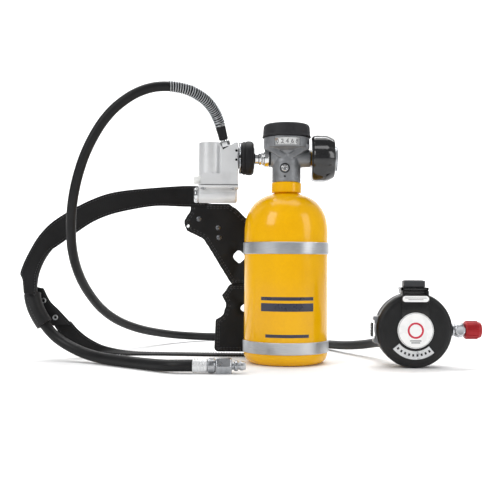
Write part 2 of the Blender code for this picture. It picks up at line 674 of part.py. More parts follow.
def carried_route(route, start, end):
    """A hand-laid route with both its ends taken along to where they belong."""
    points = [Vector(moved_with_pad(point)) for point in route]
    start_step, end_step = start - points[0], end - points[-1]
    carried = []
    for number, point in enumerate(points):
        share = min(1, max(0, (number - 1) / (len(points) - 3)))
        carried.append(point + start_step * (1 - share) + end_step * share)
    return carried


def airline_route():
    return carried_route(AIRLINE_ROUTE, AIRLINE_START, AIRLINE_END)


def make_belt(parent):
    """The waist belt's two runs, the leather hose retainer and its eyelets."""
    strap("belt_upper", follow_pad(UPPER_BELT), BELT_THICK, "black_webbing", parent)
    strap("belt_lower", follow_pad(LOWER_BELT), BELT_THICK, "black_webbing", parent)
    tab_edges = follow_pad(RETAINER_TAB)
    tab = strap("retainer_tab", tab_edges, TAB_THICK, "black_leather", parent)
    tab_y = tab_edges[-1][0][1]
    head = TAB_THICK / 2 + GAP
    for name, (x, z) in EYELET_PLACES.items():
        hole = rod(name + "_hole", EYELET_BORE + 2 * GAP + 0.0004, -2 * TAB_THICK, 2 * TAB_THICK,
                   None, (x, tab_y, z), ALONG_Y, parent, segments=12)
        cut(tab, hole)
        profile = [(EYELET_BORE, head - 0.001), (EYELET_BORE + 0.0004, head - 0.001),
                   (EYELET_BORE + 0.0004, head + 0.0008), (EYELET_RADIUS, head + 0.0008),
                   (EYELET_RADIUS * 0.8, head + 0.0018), (EYELET_BORE, head + 0.0018)]
        turned(name, profile, "stainless", (x, tab_y, z), ALONG_MINUS_Y, parent, segments=16)
    bore = sleeve_bore(AIRLINE_HOSE_DIAMETER) + RETAINER_SLACK
    hose_line = cord_line(airline_route(), AIRLINE_HOSE_DIAMETER)
    held = part_of_curve(hose_line, RETAINER_START, RETAINER_START + RETAINER_LENGTH)
    sleeve("hose_retainer", held, bore, bore + SLEEVE_WALL, "black_leather", parent)


# ---------------------------------------------------------------- cylinder valve
def valve_profile():
    """Column, flare and gauge head in one turned outline, from the spigot up."""
    head_foot = HEAD_Z - VALVE_Z
    return [
        (0, -SPIGOT_LENGTH), (NECK_BORE - 0.0005, -SPIGOT_LENGTH), (NECK_BORE - 0.0005, 0),
        (COLUMN_RADIUS, 0), (COLUMN_RADIUS, ARM_RISE - ARM_RADIUS * 0.6),
        (COLUMN_RADIUS * 0.9, ARM_RISE), (COLUMN_RADIUS, head_foot - 0.0025),
        (ARM_LEFT - GAP, head_foot), (HEAD_RADIUS, head_foot), (HEAD_RADIUS, head_foot + HEAD_HEIGHT),
        (HEAD_BORE, head_foot + HEAD_HEIGHT), (HEAD_BORE, HEAD_FLOOR - VALVE_Z),
        (0, HEAD_FLOOR - VALVE_Z),
    ]


def make_valve_body(parent):
    body = turned("valve_body", valve_profile(), "cast_grey", (0, 0, VALVE_Z), UPRIGHT, parent)
    axis = (0, 0, ARM_Z)
    join(body, rod("valve_arms", ARM_RADIUS, -ARM_LEFT, ARM_RIGHT, None, axis, ALONG_X, parent))
    profile = [(0, -ARM_LEFT - 0.001), (PASSAGE_RADIUS, -ARM_LEFT - 0.001),
               (PASSAGE_RADIUS, SEAT_X - GAP), (CHAMBER_RADIUS, SEAT_X - GAP),
               (CHAMBER_RADIUS, ARM_RIGHT + 0.001), (0, ARM_RIGHT + 0.001)]
    cut(body, turned("stem_chamber", profile, None, axis, ALONG_X, parent, 20))
    cut(body, rod("cylinder_passage", PASSAGE_RADIUS * 0.8, -SPIGOT_LENGTH - 0.001, ARM_RISE - 0.001,
                  None, (0, 0, VALVE_Z), UPRIGHT, parent, segments=12))
    plug_place = (PLUG_X, 0, PLUG_Z)
    recess, bore = PLUG_RADIUS + 0.0013, PLUG_RADIUS * 0.6
    profile = [(0, COLUMN_RADIUS - 0.0090), (bore, COLUMN_RADIUS - 0.0090),
               (bore, COLUMN_RADIUS - 0.0025), (recess, COLUMN_RADIUS - 0.0025), (recess, 0.03), (0, 0.03)]
    cut(body, turned("plug_recess", profile, None, plug_place, ALONG_MINUS_Y, parent, 20))
    cut(body, rod("vent_hole", VENT_RADIUS, COLUMN_RADIUS - 0.0030, 0.03, None,
                  (PLUG_X, 0, ARM_Z - VENT_DROP), ALONG_MINUS_Y, parent, segments=12))
    low = (-WINDOW_HALF_WIDTH, -HEAD_RADIUS - 0.003, HEAD_FLOOR + 0.0001)
    high = (WINDOW_HALF_WIDTH, -HEAD_BORE * math.sqrt(3) / 2, HEAD_FLOOR + WINDOW_HEIGHT)
    cut(body, block("window_opening", low, high, None, parent))


def make_valve_trim(parent):
    """Plug, gland, outlet nut, seal and debris tube."""
    profile = [(0, COLUMN_RADIUS - 0.0085), (PLUG_RADIUS * 0.5, COLUMN_RADIUS - 0.0085),
               (PLUG_RADIUS * 0.5, COLUMN_RADIUS - 0.0022), (PLUG_RADIUS, COLUMN_RADIUS - 0.0022),
               (PLUG_RADIUS, COLUMN_RADIUS + 0.0016), (PLUG_RADIUS * 0.8, COLUMN_RADIUS + 0.0022),
               (0, COLUMN_RADIUS + 0.0022)]
    turned("burst_disc_plug", profile, "chrome", (PLUG_X, 0, PLUG_Z), ALONG_MINUS_Y, parent, 6)
    axis = (0, 0, ARM_Z)
    start = ARM_RIGHT + GAP
    rod("gland_nut", GLAND_RADIUS, start, start + GLAND_LENGTH, "brass", axis, ALONG_X, parent,
        segments=6, bore=(STEM_RADIUS + RUNNING) / math.cos(math.pi / 6))
    start = ARM_LEFT + GAP
    rod("outlet_o_ring", ARM_RADIUS + 0.0006, start, start + ORING_WIDTH, "black_rubber", axis,
        ALONG_MINUS_X, parent, bore=ARM_RADIUS * 0.7)
    rod("outlet_nut", OUTLET_NUT_RADIUS, -OUTLET_NUT_X, -OUTLET_NUT_X + OUTLET_NUT_LENGTH, "chrome",
        axis, ALONG_MINUS_X, parent, bore=PASSAGE_RADIUS)
    top = NECK_TOP + GAP - SPIGOT_LENGTH - GAP
    rod("debris_tube", DEBRIS_TUBE_RADIUS, -DEBRIS_TUBE_LENGTH, 0, "brass", (0, 0, top), UPRIGHT,
        parent, segments=16, bore=PASSAGE_RADIUS)


def make_valve_motion(parent):
    """Seat plug, stem, handwheel and hub, all on the arm axis."""
    axis = (0, 0, ARM_Z)
    seat_end = SEAT_X + SEAT_LENGTH
    slot = SEAT_X + SEAT_LENGTH * 0.54
    tang_bore = TANG_RADIUS + 0.0006
    seat_radius = CHAMBER_RADIUS - 2 * RUNNING
    profile = [(0, SEAT_X), (seat_radius - 0.001, SEAT_X), (seat_radius, SEAT_X + 0.001),
               (seat_radius, seat_end), (tang_bore, seat_end), (tang_bore, slot), (0, slot)]
    turned("valve_seat", profile, "brass", axis, ALONG_X, parent, segments=20)
    wheel_start = ARM_RIGHT + 0.0010
    wheel_end = wheel_start + WHEEL_LENGTH
    shoulder = seat_end + 0.0030
    profile = [(0, seat_end - 0.0010), (TANG_RADIUS, seat_end - 0.0010), (TANG_RADIUS, shoulder),
               (STEM_RADIUS, shoulder), (STEM_RADIUS, wheel_end), (0, wheel_end)]
    turned("valve_stem", profile, "stainless", axis, ALONG_X, parent, segments=20)
    bore = STEM_RADIUS + GAP
    recess = GLAND_RADIUS + 0.0015
    recess_end = ARM_RIGHT + GAP + GLAND_LENGTH + 0.0030
    profile = [(bore, recess_end), (recess, recess_end), (recess, wheel_start),
               (WHEEL_RADIUS - 0.0022, wheel_start), (WHEEL_RADIUS, wheel_start + 0.0025),
               (WHEEL_RADIUS, wheel_end - 0.0075), (WHEEL_RADIUS * 0.88, wheel_end - 0.0003),
               (HUB_RADIUS + 0.0030, wheel_end), (bore, wheel_end)]
    turned("handwheel", profile, "gloss_black", axis, ALONG_X, parent, 40, WHEEL_LOBES)
    hub = wheel_end + GAP
    profile = [(0, hub), (HUB_RADIUS, hub), (HUB_RADIUS, hub + HUB_LENGTH * 0.6),
               (HUB_RADIUS - 0.0015, hub + HUB_LENGTH), (0, hub + HUB_LENGTH)]
    turned("wheel_hub", profile, "stainless", axis, ALONG_X, parent, segments=24)


def make_gauge(parent):
    """Spindle, turning drum, curved window and rubber cap."""
    floor = HEAD_FLOOR + GAP
    drum_top = HEAD_FLOOR + WINDOW_HEIGHT - GAP
    rod("gauge_spindle", SPINDLE_RADIUS, 0, HEAD_TOP - GAP - floor, "brass", (0, 0, floor), UPRIGHT,
        parent, segments=12)
    rim = HEAD_BORE - 0.0008
    bore = SPINDLE_RADIUS + RUNNING
    web = floor + DRUM_WALL
    profile = [(bore, floor), (rim, floor), (rim, drum_top), (rim - DRUM_WALL, drum_top),
               (rim - DRUM_WALL, web), (bore + 0.002, web), (bore + 0.002, web + 0.004),
               (bore, web + 0.004)]
    turned("gauge_drum", [(r, z - floor) for r, z in profile], "white_plastic", (0, 0, floor),
           UPRIGHT, parent, segments=24)
    make_window(parent, HEAD_FLOOR + 2 * GAP, HEAD_FLOOR + WINDOW_HEIGHT - GAP)
    skirt = HEAD_TOP + GAP
    top = skirt + CAP_HEIGHT
    recess = skirt + 0.0030
    edge = CAP_RADIUS - 0.0010
    profile = [(0, recess), (HEAD_BORE, recess), (HEAD_BORE, skirt), (CAP_RADIUS, skirt),
               (CAP_RADIUS - 0.0002, skirt + 0.006), (edge, top - CAP_CROWN - 0.0025),
               (edge - 0.0012, top - CAP_CROWN), (edge * 0.6, top - CAP_CROWN * 0.35), (0, top)]
    turned("gauge_cap", profile, "grey_rubber", (0, 0, 0), UPRIGHT, parent, segments=28)


def make_window(parent, low, high):
    """The clear window: a curved plate between the head's two posts."""
    outer = HEAD_RADIUS - 0.0005
    inner = outer - LENS_THICK
    reach = math.asin((WINDOW_HALF_WIDTH - GAP) / outer)
    steps = 8
    bm = bmesh.new()
    rows = []
    for step in range(steps + 1):
        angle = -math.pi / 2 + reach * (2 * step / steps - 1)
        across, along = math.cos(angle), math.sin(angle)
        corners = ((outer, low), (outer, high), (inner, high), (inner, low))
        rows.append([bm.verts.new((r * across, r * along, z)) for r, z in corners])
    for one, two in zip(rows, rows[1:]):
        for side in range(4):
            after = (side + 1) % 4
            bm.faces.new((one[side], one[after], two[after], two[side]))
    bm.faces.new(rows[0])
    bm.faces.new(rows[-1])
    add_object("gauge_window", bm, "clear_plastic", (0, 0, 0), UPRIGHT, parent)


# ---------------------------------------------------------------- coupling and reducer
def make_coupling(parent):
    """The hand-tightened coupling between the valve's outlet and the reducer."""
    axis = (0, 0, ARM_Z)
    start = -NIPPLE_X
    shoulder = start + NIPPLE_COLLAR_LENGTH
    end = -BLOCK_RIGHT - BOSS_LENGTH + 0.0007
    profile = [(NIPPLE_BORE, start), (NIPPLE_COLLAR_RADIUS - 0.001, start),
               (NIPPLE_COLLAR_RADIUS, start + 0.001), (NIPPLE_COLLAR_RADIUS, shoulder),
               (NIPPLE_RADIUS, shoulder), (NIPPLE_RADIUS, end), (NIPPLE_BORE, end)]
    turned("coupling_nipple", profile, "chrome", axis, ALONG_MINUS_X, parent, segments=24)
    near = -COUPLING_X
    far = near + COUPLING_LENGTH
    bore = NIPPLE_RADIUS + RUNNING
    profile = [(bore, near), (COUPLING_RADIUS * 0.6, near), (COUPLING_RADIUS - 0.0015, near + 0.001),
               (COUPLING_RADIUS, near + 0.0035), (COUPLING_RADIUS, far - 0.0035),
               (COUPLING_RADIUS - 0.0015, far - 0.0005), (bore, far)]
    turned("coupling_wheel", profile, "black_rubber", axis, ALONG_MINUS_X, parent, segments=24)


def make_reducer_body(parent):
    """Round tower and flat block in one casting, bored from below for the piston."""
    step_top = ARM_Z - STEP_TOP_DROP
    tower = rod("reducer_body", TOWER_RADIUS, step_top - 0.001, BLOCK_TOP, "satin_aluminium",
                (TOWER_X, 0, 0), UPRIGHT, parent, segments=28)
    low = (TOWER_X, -WEB_DEPTH, step_top - 0.0015)
    high = (TOWER_X + BLOCK_START + 0.0040, WEB_DEPTH, BLOCK_TOP - 0.0008)
    join(tower, block("reducer_web", low, high, None, parent))
    low = (TOWER_X + BLOCK_START, -TOWER_RADIUS - 0.0002, step_top - 0.0020)
    high = (BLOCK_RIGHT, TOWER_RADIUS + 0.0002, BLOCK_TOP - 0.0004)
    join(tower, block("reducer_block", low, high, None, parent))
    low = (TOWER_X - STEP_WIDTH, -TOWER_RADIUS - 0.0005, BLOCK_BOTTOM)
    high = (BLOCK_RIGHT - 0.0002, TOWER_RADIUS + 0.0005, step_top)
    join(tower, block("reducer_step", low, high, None, parent))
    join(tower, rod("reducer_boss", BOSS_RADIUS, -BLOCK_RIGHT - BOSS_LENGTH, -BLOCK_RIGHT + 0.001,
                    None, (0, 0, ARM_Z), ALONG_MINUS_X, parent))
    cut(tower, rod("piston_bore", PISTON_RADIUS + RUNNING, BLOCK_BOTTOM - 0.001,
                   BLOCK_BOTTOM + PISTON_BORE_HEIGHT, None, (TOWER_X, 0, 0), UPRIGHT, parent,
                   segments=24))
    mouth = -BLOCK_RIGHT - BOSS_LENGTH - 0.001
    step = -BLOCK_RIGHT + 0.001
    bore = NIPPLE_RADIUS + GAP
    profile = [(0, mouth), (bore, mouth), (bore, step), (NIPPLE_BORE, step),
               (NIPPLE_BORE, -TOWER_X), (0, -TOWER_X)]
    cut(tower, turned("gas_bore", profile, None, (0, 0, ARM_Z), ALONG_MINUS_X, parent, 20))
    notch_top = BLOCK_TOP + 0.001
    notch = [(TOWER_X + 0.0130, notch_top), (TOWER_X + 0.0166, BLOCK_TOP - 0.0085),
             (TOWER_X + 0.0320, notch_top)]
    depth = 2 * TOWER_RADIUS + 0.002
    cut(tower, plate("hose_notch", notch, -depth / 2, depth, None, parent))
    turn = FITTING_LEAN.to_track_quat("Z", "Y").to_euler()
    cut(tower, rod("fitting_socket", FITTING_RADIUS + GAP, -GAP, 0.03, None, FITTING_BASE, turn,
                   parent, segments=20))


def make_reducer_trim(parent):
    """Lower barrel with its flange, end cap and relief valve cap."""
    flange_top = BLOCK_BOTTOM - GAP
    low = (TOWER_X - STEP_WIDTH - 0.0009, -FLANGE_DEPTH, flange_top - FLANGE_THICK)
    high = (BLOCK_RIGHT + 0.0005, FLANGE_DEPTH, flange_top)
    barrel_right = BLOCK_RIGHT - 0.0013
    axis = (barrel_right, 0, BARREL_Z)
    barrel = rod("lower_barrel", BARREL_RADIUS, 0, BARREL_LENGTH, "satin_aluminium", axis,
                 ALONG_MINUS_X, parent)
    join(barrel, block("barrel_flange", low, high, None, parent))
    start = BARREL_LENGTH + GAP
    profile = [(0, start), (BARREL_RADIUS, start), (BARREL_RADIUS, start + BARREL_CAP_LENGTH * 0.7),
               (BARREL_RADIUS - 0.0015, start + BARREL_CAP_LENGTH), (0, start + BARREL_CAP_LENGTH)]
    turned("barrel_end_cap", profile, "chrome", axis, ALONG_MINUS_X, parent, segments=24)
    relief_z = ARM_Z - STEP_TOP_DROP - RELIEF_RADIUS - 0.0016
    step_left = TOWER_X - STEP_WIDTH
    rod("relief_cap", RELIEF_RADIUS, GAP, RELIEF_LENGTH, "white_plastic",
        (step_left, -0.0040, relief_z), ALONG_MINUS_X, parent, segments=20)


def make_piston(parent):
    """The reducer's piston and the spring sleeve under it."""
    low = PISTON_RISE
    profile = [(0, low), (PISTON_RADIUS, low), (PISTON_RADIUS, low + PISTON_THICK),
               (0.0020, low + PISTON_THICK), (0.0020, low + PISTON_THICK + 0.007),
               (0, low + PISTON_THICK + 0.007)]
    place = (TOWER_X, 0, BLOCK_BOTTOM)
    turned("reducer_piston", profile, "brass", place, UPRIGHT, parent, segments=24)
    outer = PISTON_RADIUS - 0.0008
    rod("piston_spring", outer, 0, low - GAP, "stainless", place, UPRIGHT, parent, segments=24,
        bore=outer - SPRING_WALL)


def make_breathing_hose(parent):
    """Swivel fitting, crimp sleeve, spring guard and the hose to the regulator."""
    turn = FITTING_LEAN.to_track_quat("Z", "Y").to_euler()
    length = FITTING_LENGTH
    profile = [(0, 0), (FITTING_RADIUS, 0), (FITTING_RADIUS, length * 0.55),
               (FITTING_RADIUS * 0.8, length * 0.65), (FITTING_RADIUS * 0.8, length), (0, length)]
    turned("hose_fitting", profile, "chrome", FITTING_BASE, turn, parent, segments=20)
    start = length + GAP
    rod("crimp_sleeve", CRIMP_RADIUS, start, start + CRIMP_LENGTH, "black_rubber", FITTING_BASE,
        turn, parent, segments=20)
    route = carried_route(BREATHING_ROUTE, BREATHING_START, BREATHING_END)
    cord("breathing_hose", route, BREATHING_HOSE_DIAMETER, "black_rubber", parent)
    bore = sleeve_bore(BREATHING_HOSE_DIAMETER)
    hose_line = cord_line(route, BREATHING_HOSE_DIAMETER)
    guard_line = part_of_curve(hose_line, 0, GUARD_LENGTH)
    sleeve("spring_guard", guard_line, bore, bore + GUARD_WALL, "stainless", parent)


def make_airline(parent):
    """Inlet elbow behind the barrel, the airline hose and its quick-disconnect plug."""
    elbow = rod("airline_inlet", INLET_RADIUS, BARREL_RADIUS + GAP, INLET_REACH, "chrome",
                (INLET_X, 0, INLET_Z), ALONG_Y, parent, segments=16)
    arm = [(0, -INLET_RADIUS), (INLET_RADIUS, -INLET_RADIUS), (INLET_RADIUS, INLET_ARM * 0.4),
           (INLET_CRIMP_RADIUS, INLET_ARM * 0.45), (INLET_CRIMP_RADIUS, INLET_ARM), (0, INLET_ARM)]
    join(elbow, turned("inlet_arm", arm, None, (INLET_X, INLET_REACH, INLET_Z), ALONG_MINUS_X,
                       parent, segments=20))
    cord("airline_hose", airline_route(), AIRLINE_HOSE_DIAMETER, "black_rubber", parent)
    rod("hose_ferrule", FERRULE_RADIUS, 0, FERRULE_LENGTH, "satin_aluminium", PLUG_START, ALONG_X,
        parent, segments=24)
    start = FERRULE_LENGTH + GAP
    rod("plug_collar", COLLAR_RADIUS, start, start + COLLAR_LENGTH, "stainless", PLUG_START,
        ALONG_X, parent, segments=24)
    start += COLLAR_LENGTH + GAP
    corner = HEX_FLATS / 2 / math.cos(math.pi / 6)
    body = rod("plug_nipple", corner, start, start + HEX_LENGTH, "stainless", PLUG_START, ALONG_X,
               parent, segments=6)
    tip = start + HEX_LENGTH
    end = tip + TIP_LENGTH
    groove = TIP_RADIUS * 0.72
    profile = [(0, tip - 0.002), (groove, tip - 0.002), (groove, tip + TIP_LENGTH * 0.3),
               (TIP_RADIUS, tip + TIP_LENGTH * 0.4), (TIP_RADIUS, tip + TIP_LENGTH * 0.6),
               (groove, tip + TIP_LENGTH * 0.68), (groove, tip + TIP_LENGTH * 0.8),
               (TIP_RADIUS, tip + TIP_LENGTH * 0.86), (TIP_RADIUS * 0.94, end), (0, end)]
    join(body, turned("plug_tip", profile, None, PLUG_START, ALONG_X, parent, segments=20))
    cut(body, rod("plug_bore_hole", TIP_BORE, start + 0.004, end + 0.001, None, PLUG_START,
                  ALONG_X, parent, segments=12))


# ---------------------------------------------------------------- demand regulator
def make_regulator_shells(parent):
    """Back shell, front cover with its raised bar, and the diaphragm between them."""
    inner = REG_RADIUS - REG_WALL
    depth = REG_BODY_DEPTH
    round_edge = 0.0030
    profile = [(SPOUT_RADIUS - SPOUT_WALL, 0), (REG_RADIUS - 0.0008 - round_edge, 0),
               (REG_RADIUS - 0.0008, round_edge), (REG_RADIUS - 0.0008, depth), (inner, depth),
               (inner, REG_WALL), (SPOUT_RADIUS - SPOUT_WALL, REG_WALL)]
    turned("regulator_body", profile, "black_rubber", REG_PLACE, ALONG_MINUS_Y, parent, segments=40)
    back = depth + GAP
    front = back + REG_COVER_DEPTH
    profile = [(0, front - REG_WALL), (inner, front - REG_WALL), (inner, back), (REG_RADIUS, back),
               (REG_RADIUS, front - 0.0040), (REG_RADIUS - 0.0025, front - 0.0012),
               (REG_RADIUS - 0.0070, front), (0, front)]
    cover = turned("regulator_cover", profile, "black_rubber", REG_PLACE, ALONG_MINUS_Y, parent, 40)
    x, y, z = REG_PLACE
    low = (x - BAR_WIDTH / 2, y - front - 0.0020, z)
    high = (x + BAR_WIDTH / 2, y - front + 0.0010, z + REG_RADIUS - 0.0030)
    join(cover, block("cover_bar", low, high, None, parent))
    middle = back + 0.0030
    rod("diaphragm", inner - 0.0015, middle, middle + DIAPHRAGM_THICK, "grey_rubber", REG_PLACE,
        ALONG_MINUS_Y, parent, segments=28)


def make_regulator_ports(parent):
    """Mask spout and hose inlet boss, both behind the disc."""
    rod("mask_spout", SPOUT_RADIUS, GAP, SPOUT_LENGTH, "black_rubber", REG_PLACE, ALONG_Y, parent,
        bore=SPOUT_RADIUS - SPOUT_WALL)
    across, up = HOSE_BOSS_OFFSET
    boss = [(0, GAP), (HOSE_BOSS_RADIUS, GAP), (HOSE_BOSS_RADIUS, HOSE_BOSS_LENGTH * 0.5),
            (HOSE_BOSS_RADIUS * 0.85, HOSE_BOSS_LENGTH * 0.55),
            (HOSE_BOSS_RADIUS * 0.85, HOSE_BOSS_LENGTH), (0, HOSE_BOSS_LENGTH)]
    turned("hose_inlet", boss, "black_rubber", REG_PLACE + Vector((across, 0, up)), ALONG_Y, parent,
           segments=20)


def disc_cutter(name, parent):
    """A drum a gap larger than the regulator, which shapes what sits on its rim."""
    return rod(name, REG_RADIUS + GAP, -0.01, REG_BODY_DEPTH + REG_COVER_DEPTH + 0.01, None,
               REG_PLACE, ALONG_MINUS_Y, parent, segments=40)


def make_donning_switch(parent):
    """The housing on top of the disc and the switch that is pressed into it."""
    x, y, z = REG_PLACE
    middle = y - REG_BODY_DEPTH
    top = z + SWITCH_HOUSING_RISE
    low = (x - SWITCH_HOUSING_WIDTH / 2, middle - SWITCH_HOUSING_DEPTH / 2, z + REG_RADIUS * 0.8)
    high = (x + SWITCH_HOUSING_WIDTH / 2, middle + SWITCH_HOUSING_DEPTH / 2, top)
    housing = block("switch_housing", low, high, "gloss_black", parent)
    cut(housing, disc_cutter("housing_seat", parent))
    half_width = SWITCH_WIDTH / 2 + GAP
    half_depth = SWITCH_DEPTH / 2 + GAP
    low = (x - half_width, middle - half_depth, top - SWITCH_TRAVEL - GAP)
    high = (x + half_width, middle + half_depth, top + 0.001)
    cut(housing, block("switch_pocket", low, high, None, parent))
    low = (x - SWITCH_WIDTH / 2, middle - SWITCH_DEPTH / 2, top)
    high = (x + SWITCH_WIDTH / 2, middle + SWITCH_DEPTH / 2, top + SWITCH_HEIGHT)
    block("donning_switch", low, high, "grey_plastic", parent, round_edge=0.0010)


def make_latch(parent):
    """The spring latch on the disc's left side, in its metal frame."""
    x, y, z = REG_PLACE
    middle = y - REG_BODY_DEPTH
    floor = x - REG_RADIUS - GAP - 0.0012
    left = floor - GAP - LATCH_TRAVEL - 0.0010
    half = LATCH_FRAME_HEIGHT / 2
    low = (left, middle - LATCH_DEPTH / 2, z - half)
    high = (left + LATCH_FRAME_WIDTH + 0.004, middle + LATCH_DEPTH / 2, z + half)
    frame = block("latch_frame", low, high, "stainless", parent)
    cut(frame, disc_cutter("latch_seat", parent))
    reach = LATCH_HEIGHT / 2
    low = (left - 0.001, middle - LATCH_DEPTH, z - reach - GAP)
    high = (floor, middle + LATCH_DEPTH, z + reach + GAP)
    cut(frame, block("latch_pocket", low, high, None, parent))
    right = floor - GAP - LATCH_TRAVEL
    low = (right - LATCH_WIDTH, middle - LATCH_DEPTH / 2, z - reach)
    high = (right, middle + LATCH_DEPTH / 2, z + reach)
    block("regulator_latch", low, high, "gloss_black", parent)


def make_purge_valve(parent):
    """The ball-shaped purge valve on the disc's right side and its red knob."""
    x, y, z = REG_PLACE
    place = (x, y - REG_BODY_DEPTH, z)
    start = REG_RADIUS + GAP
    end = start + PURGE_BODY_LENGTH
    steps = 6
    profile = [(0, start)]
    for step in range(steps + 1):
        share = step / steps
        bulge = math.sin(math.pi * (0.2 + 0.6 * share))
        profile.append((PURGE_BODY_RADIUS * bulge, start + PURGE_BODY_LENGTH * share))
    profile += [(PURGE_SPIGOT_RADIUS, end), (PURGE_SPIGOT_RADIUS, end + PURGE_SPIGOT_LENGTH),
                (0, end + PURGE_SPIGOT_LENGTH)]
    turned("purge_valve", profile, "stainless", place, ALONG_X, parent, segments=24)
    start = end + GAP
    tip = start + KNOB_LENGTH
    bore = PURGE_SPIGOT_RADIUS + RUNNING
    blind = start + PURGE_SPIGOT_LENGTH
    profile = [(0, blind), (bore, blind), (bore, start), (KNOB_RADIUS * 0.85, start),
               (KNOB_RADIUS * 0.85, start + KNOB_LENGTH * 0.3), (KNOB_RADIUS, start + KNOB_LENGTH * 0.34),
               (KNOB_RADIUS, tip - 0.0020), (KNOB_RADIUS - 0.0015, tip), (0, tip)]
    turned("purge_knob", profile, "red_anodised", place, ALONG_X, parent, segments=24)


# ---------------------------------------------------------------- the whole object
def main():
    clear_scene()
    cylinder = group("cylinder_group", (0, 0, 0))
    make_air_cylinder(cylinder)
    make_bands(cylinder)
    make_cradle(cylinder)
    carrier = group("carrier_group", (PAD_X, PAD_Y, BLOCK_BOTTOM))
    make_pad(carrier)
    make_belt(carrier)
    valve = group("valve_group", (0, 0, ARM_Z))
    make_valve_body(valve)
    make_valve_trim(valve)
    make_valve_motion(valve)
    make_gauge(valve)
    reducer = group("reducer_group", (TOWER_X, 0, ARM_Z))
    make_coupling(reducer)
    make_reducer_body(reducer)
    make_reducer_trim(reducer)
    make_piston(reducer)
    make_breathing_hose(reducer)
    make_airline(reducer)
    regulator = group("regulator_group", REG_PLACE)
    make_regulator_shells(regulator)
    make_regulator_ports(regulator)
    make_donning_switch(regulator)
    make_latch(regulator)
    make_purge_valve(regulator)
    bpy.context.view_layer.update()


main()
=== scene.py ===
"""Looks of a hip-worn supplied-air respirator with a small escape cylinder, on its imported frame.

World frame, metres: origin at the centre of the cylinder's foot, +X towards the valve's handwheel,
+Y towards the wearer, +Z up.
"""

import logging
import math
from dataclasses import dataclass, field
from enum import Enum
from functools import cache
from typing import Any, Callable, Iterable, Sequence

import bmesh
import bpy
from mathutils import Matrix, Vector


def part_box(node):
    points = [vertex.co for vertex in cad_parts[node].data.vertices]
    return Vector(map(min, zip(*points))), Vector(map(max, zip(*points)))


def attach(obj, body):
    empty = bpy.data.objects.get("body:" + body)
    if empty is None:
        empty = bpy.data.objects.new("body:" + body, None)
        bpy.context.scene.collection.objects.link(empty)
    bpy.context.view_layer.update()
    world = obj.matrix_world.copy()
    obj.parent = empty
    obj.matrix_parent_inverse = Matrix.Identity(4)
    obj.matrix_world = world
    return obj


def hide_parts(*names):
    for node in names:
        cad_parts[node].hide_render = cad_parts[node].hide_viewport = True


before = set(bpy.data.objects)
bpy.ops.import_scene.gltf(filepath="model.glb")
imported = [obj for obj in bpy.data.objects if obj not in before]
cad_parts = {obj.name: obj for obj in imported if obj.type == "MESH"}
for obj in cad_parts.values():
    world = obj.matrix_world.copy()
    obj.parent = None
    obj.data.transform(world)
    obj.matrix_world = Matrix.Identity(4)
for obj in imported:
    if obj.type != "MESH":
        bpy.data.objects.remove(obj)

LOG = logging.getLogger("air_pack")
MM = 0.001
GAP = 0.0003
ROOT = "pack"
STANDS_FOR = "visual_"      # a piece called visual_NODE stands for that CAD node
Point = tuple[float, float, float]
Profile = list[tuple[float, float]]
ALONG_X = Vector((1, 0, 0))
ALONG_Y = Vector((0, 1, 0))
ALONG_Z = Vector((0, 0, 1))


# ---------------------------------------------------------------- colour and nodes
def linear(code: str) -> tuple[float, float, float, float]:
    """Turn an sRGB hex colour into the linear colour that a shader takes.

    Args:
        code: Six hex digits, with or without a leading hash.

    Returns:
        Red, green, blue and an alpha of one, linear.
    """
    digits = code.lstrip("#")
    shares = [int(digits[at:at + 2], 16) / 255 for at in (0, 2, 4)]
    low = [share / 12.92 for share in shares]
    high = [((share + 0.055) / 1.055) ** 2.4 for share in shares]
    return (*(a if s <= 0.04045 else b for s, a, b in zip(shares, low, high)), 1.0)


def add_node(tree: bpy.types.NodeTree, kind: str, inputs: dict | None = None, **settings: Any) -> Any:
    """Add one node with its settings, its values and its links.

    Args:
        tree: The node tree of a material, a world or a geometry modifier.
        kind: The node's type name.
        inputs: Socket name or number to a value, or to another node's output socket.
        **settings: The node's own properties.

    Returns:
        The new node.
    """
    node = tree.nodes.new(kind)
    for name, value in settings.items():
        setattr(node, name, value)
    for socket, value in (inputs or {}).items():
        if isinstance(value, bpy.types.NodeSocket):
            tree.links.new(value, node.inputs[socket])
        else:
            node.inputs[socket].default_value = value
    return node


class Grain(Enum):
    """How a surface was made, which decides the pattern that it shows."""

    MOULDED = "moulded"
    SPRAYED = "sprayed"
    BRUSHED = "brushed"
    CAST = "cast"
    BLASTED = "blasted"
    EXTRUDED = "extruded"
    WOVEN = "woven"
    COATED = "coated cloth"
    HIDE = "hide"
    POLISHED = "polished"


SURFACE_GRAINS = (Grain.WOVEN, Grain.COATED, Grain.EXTRUDED)


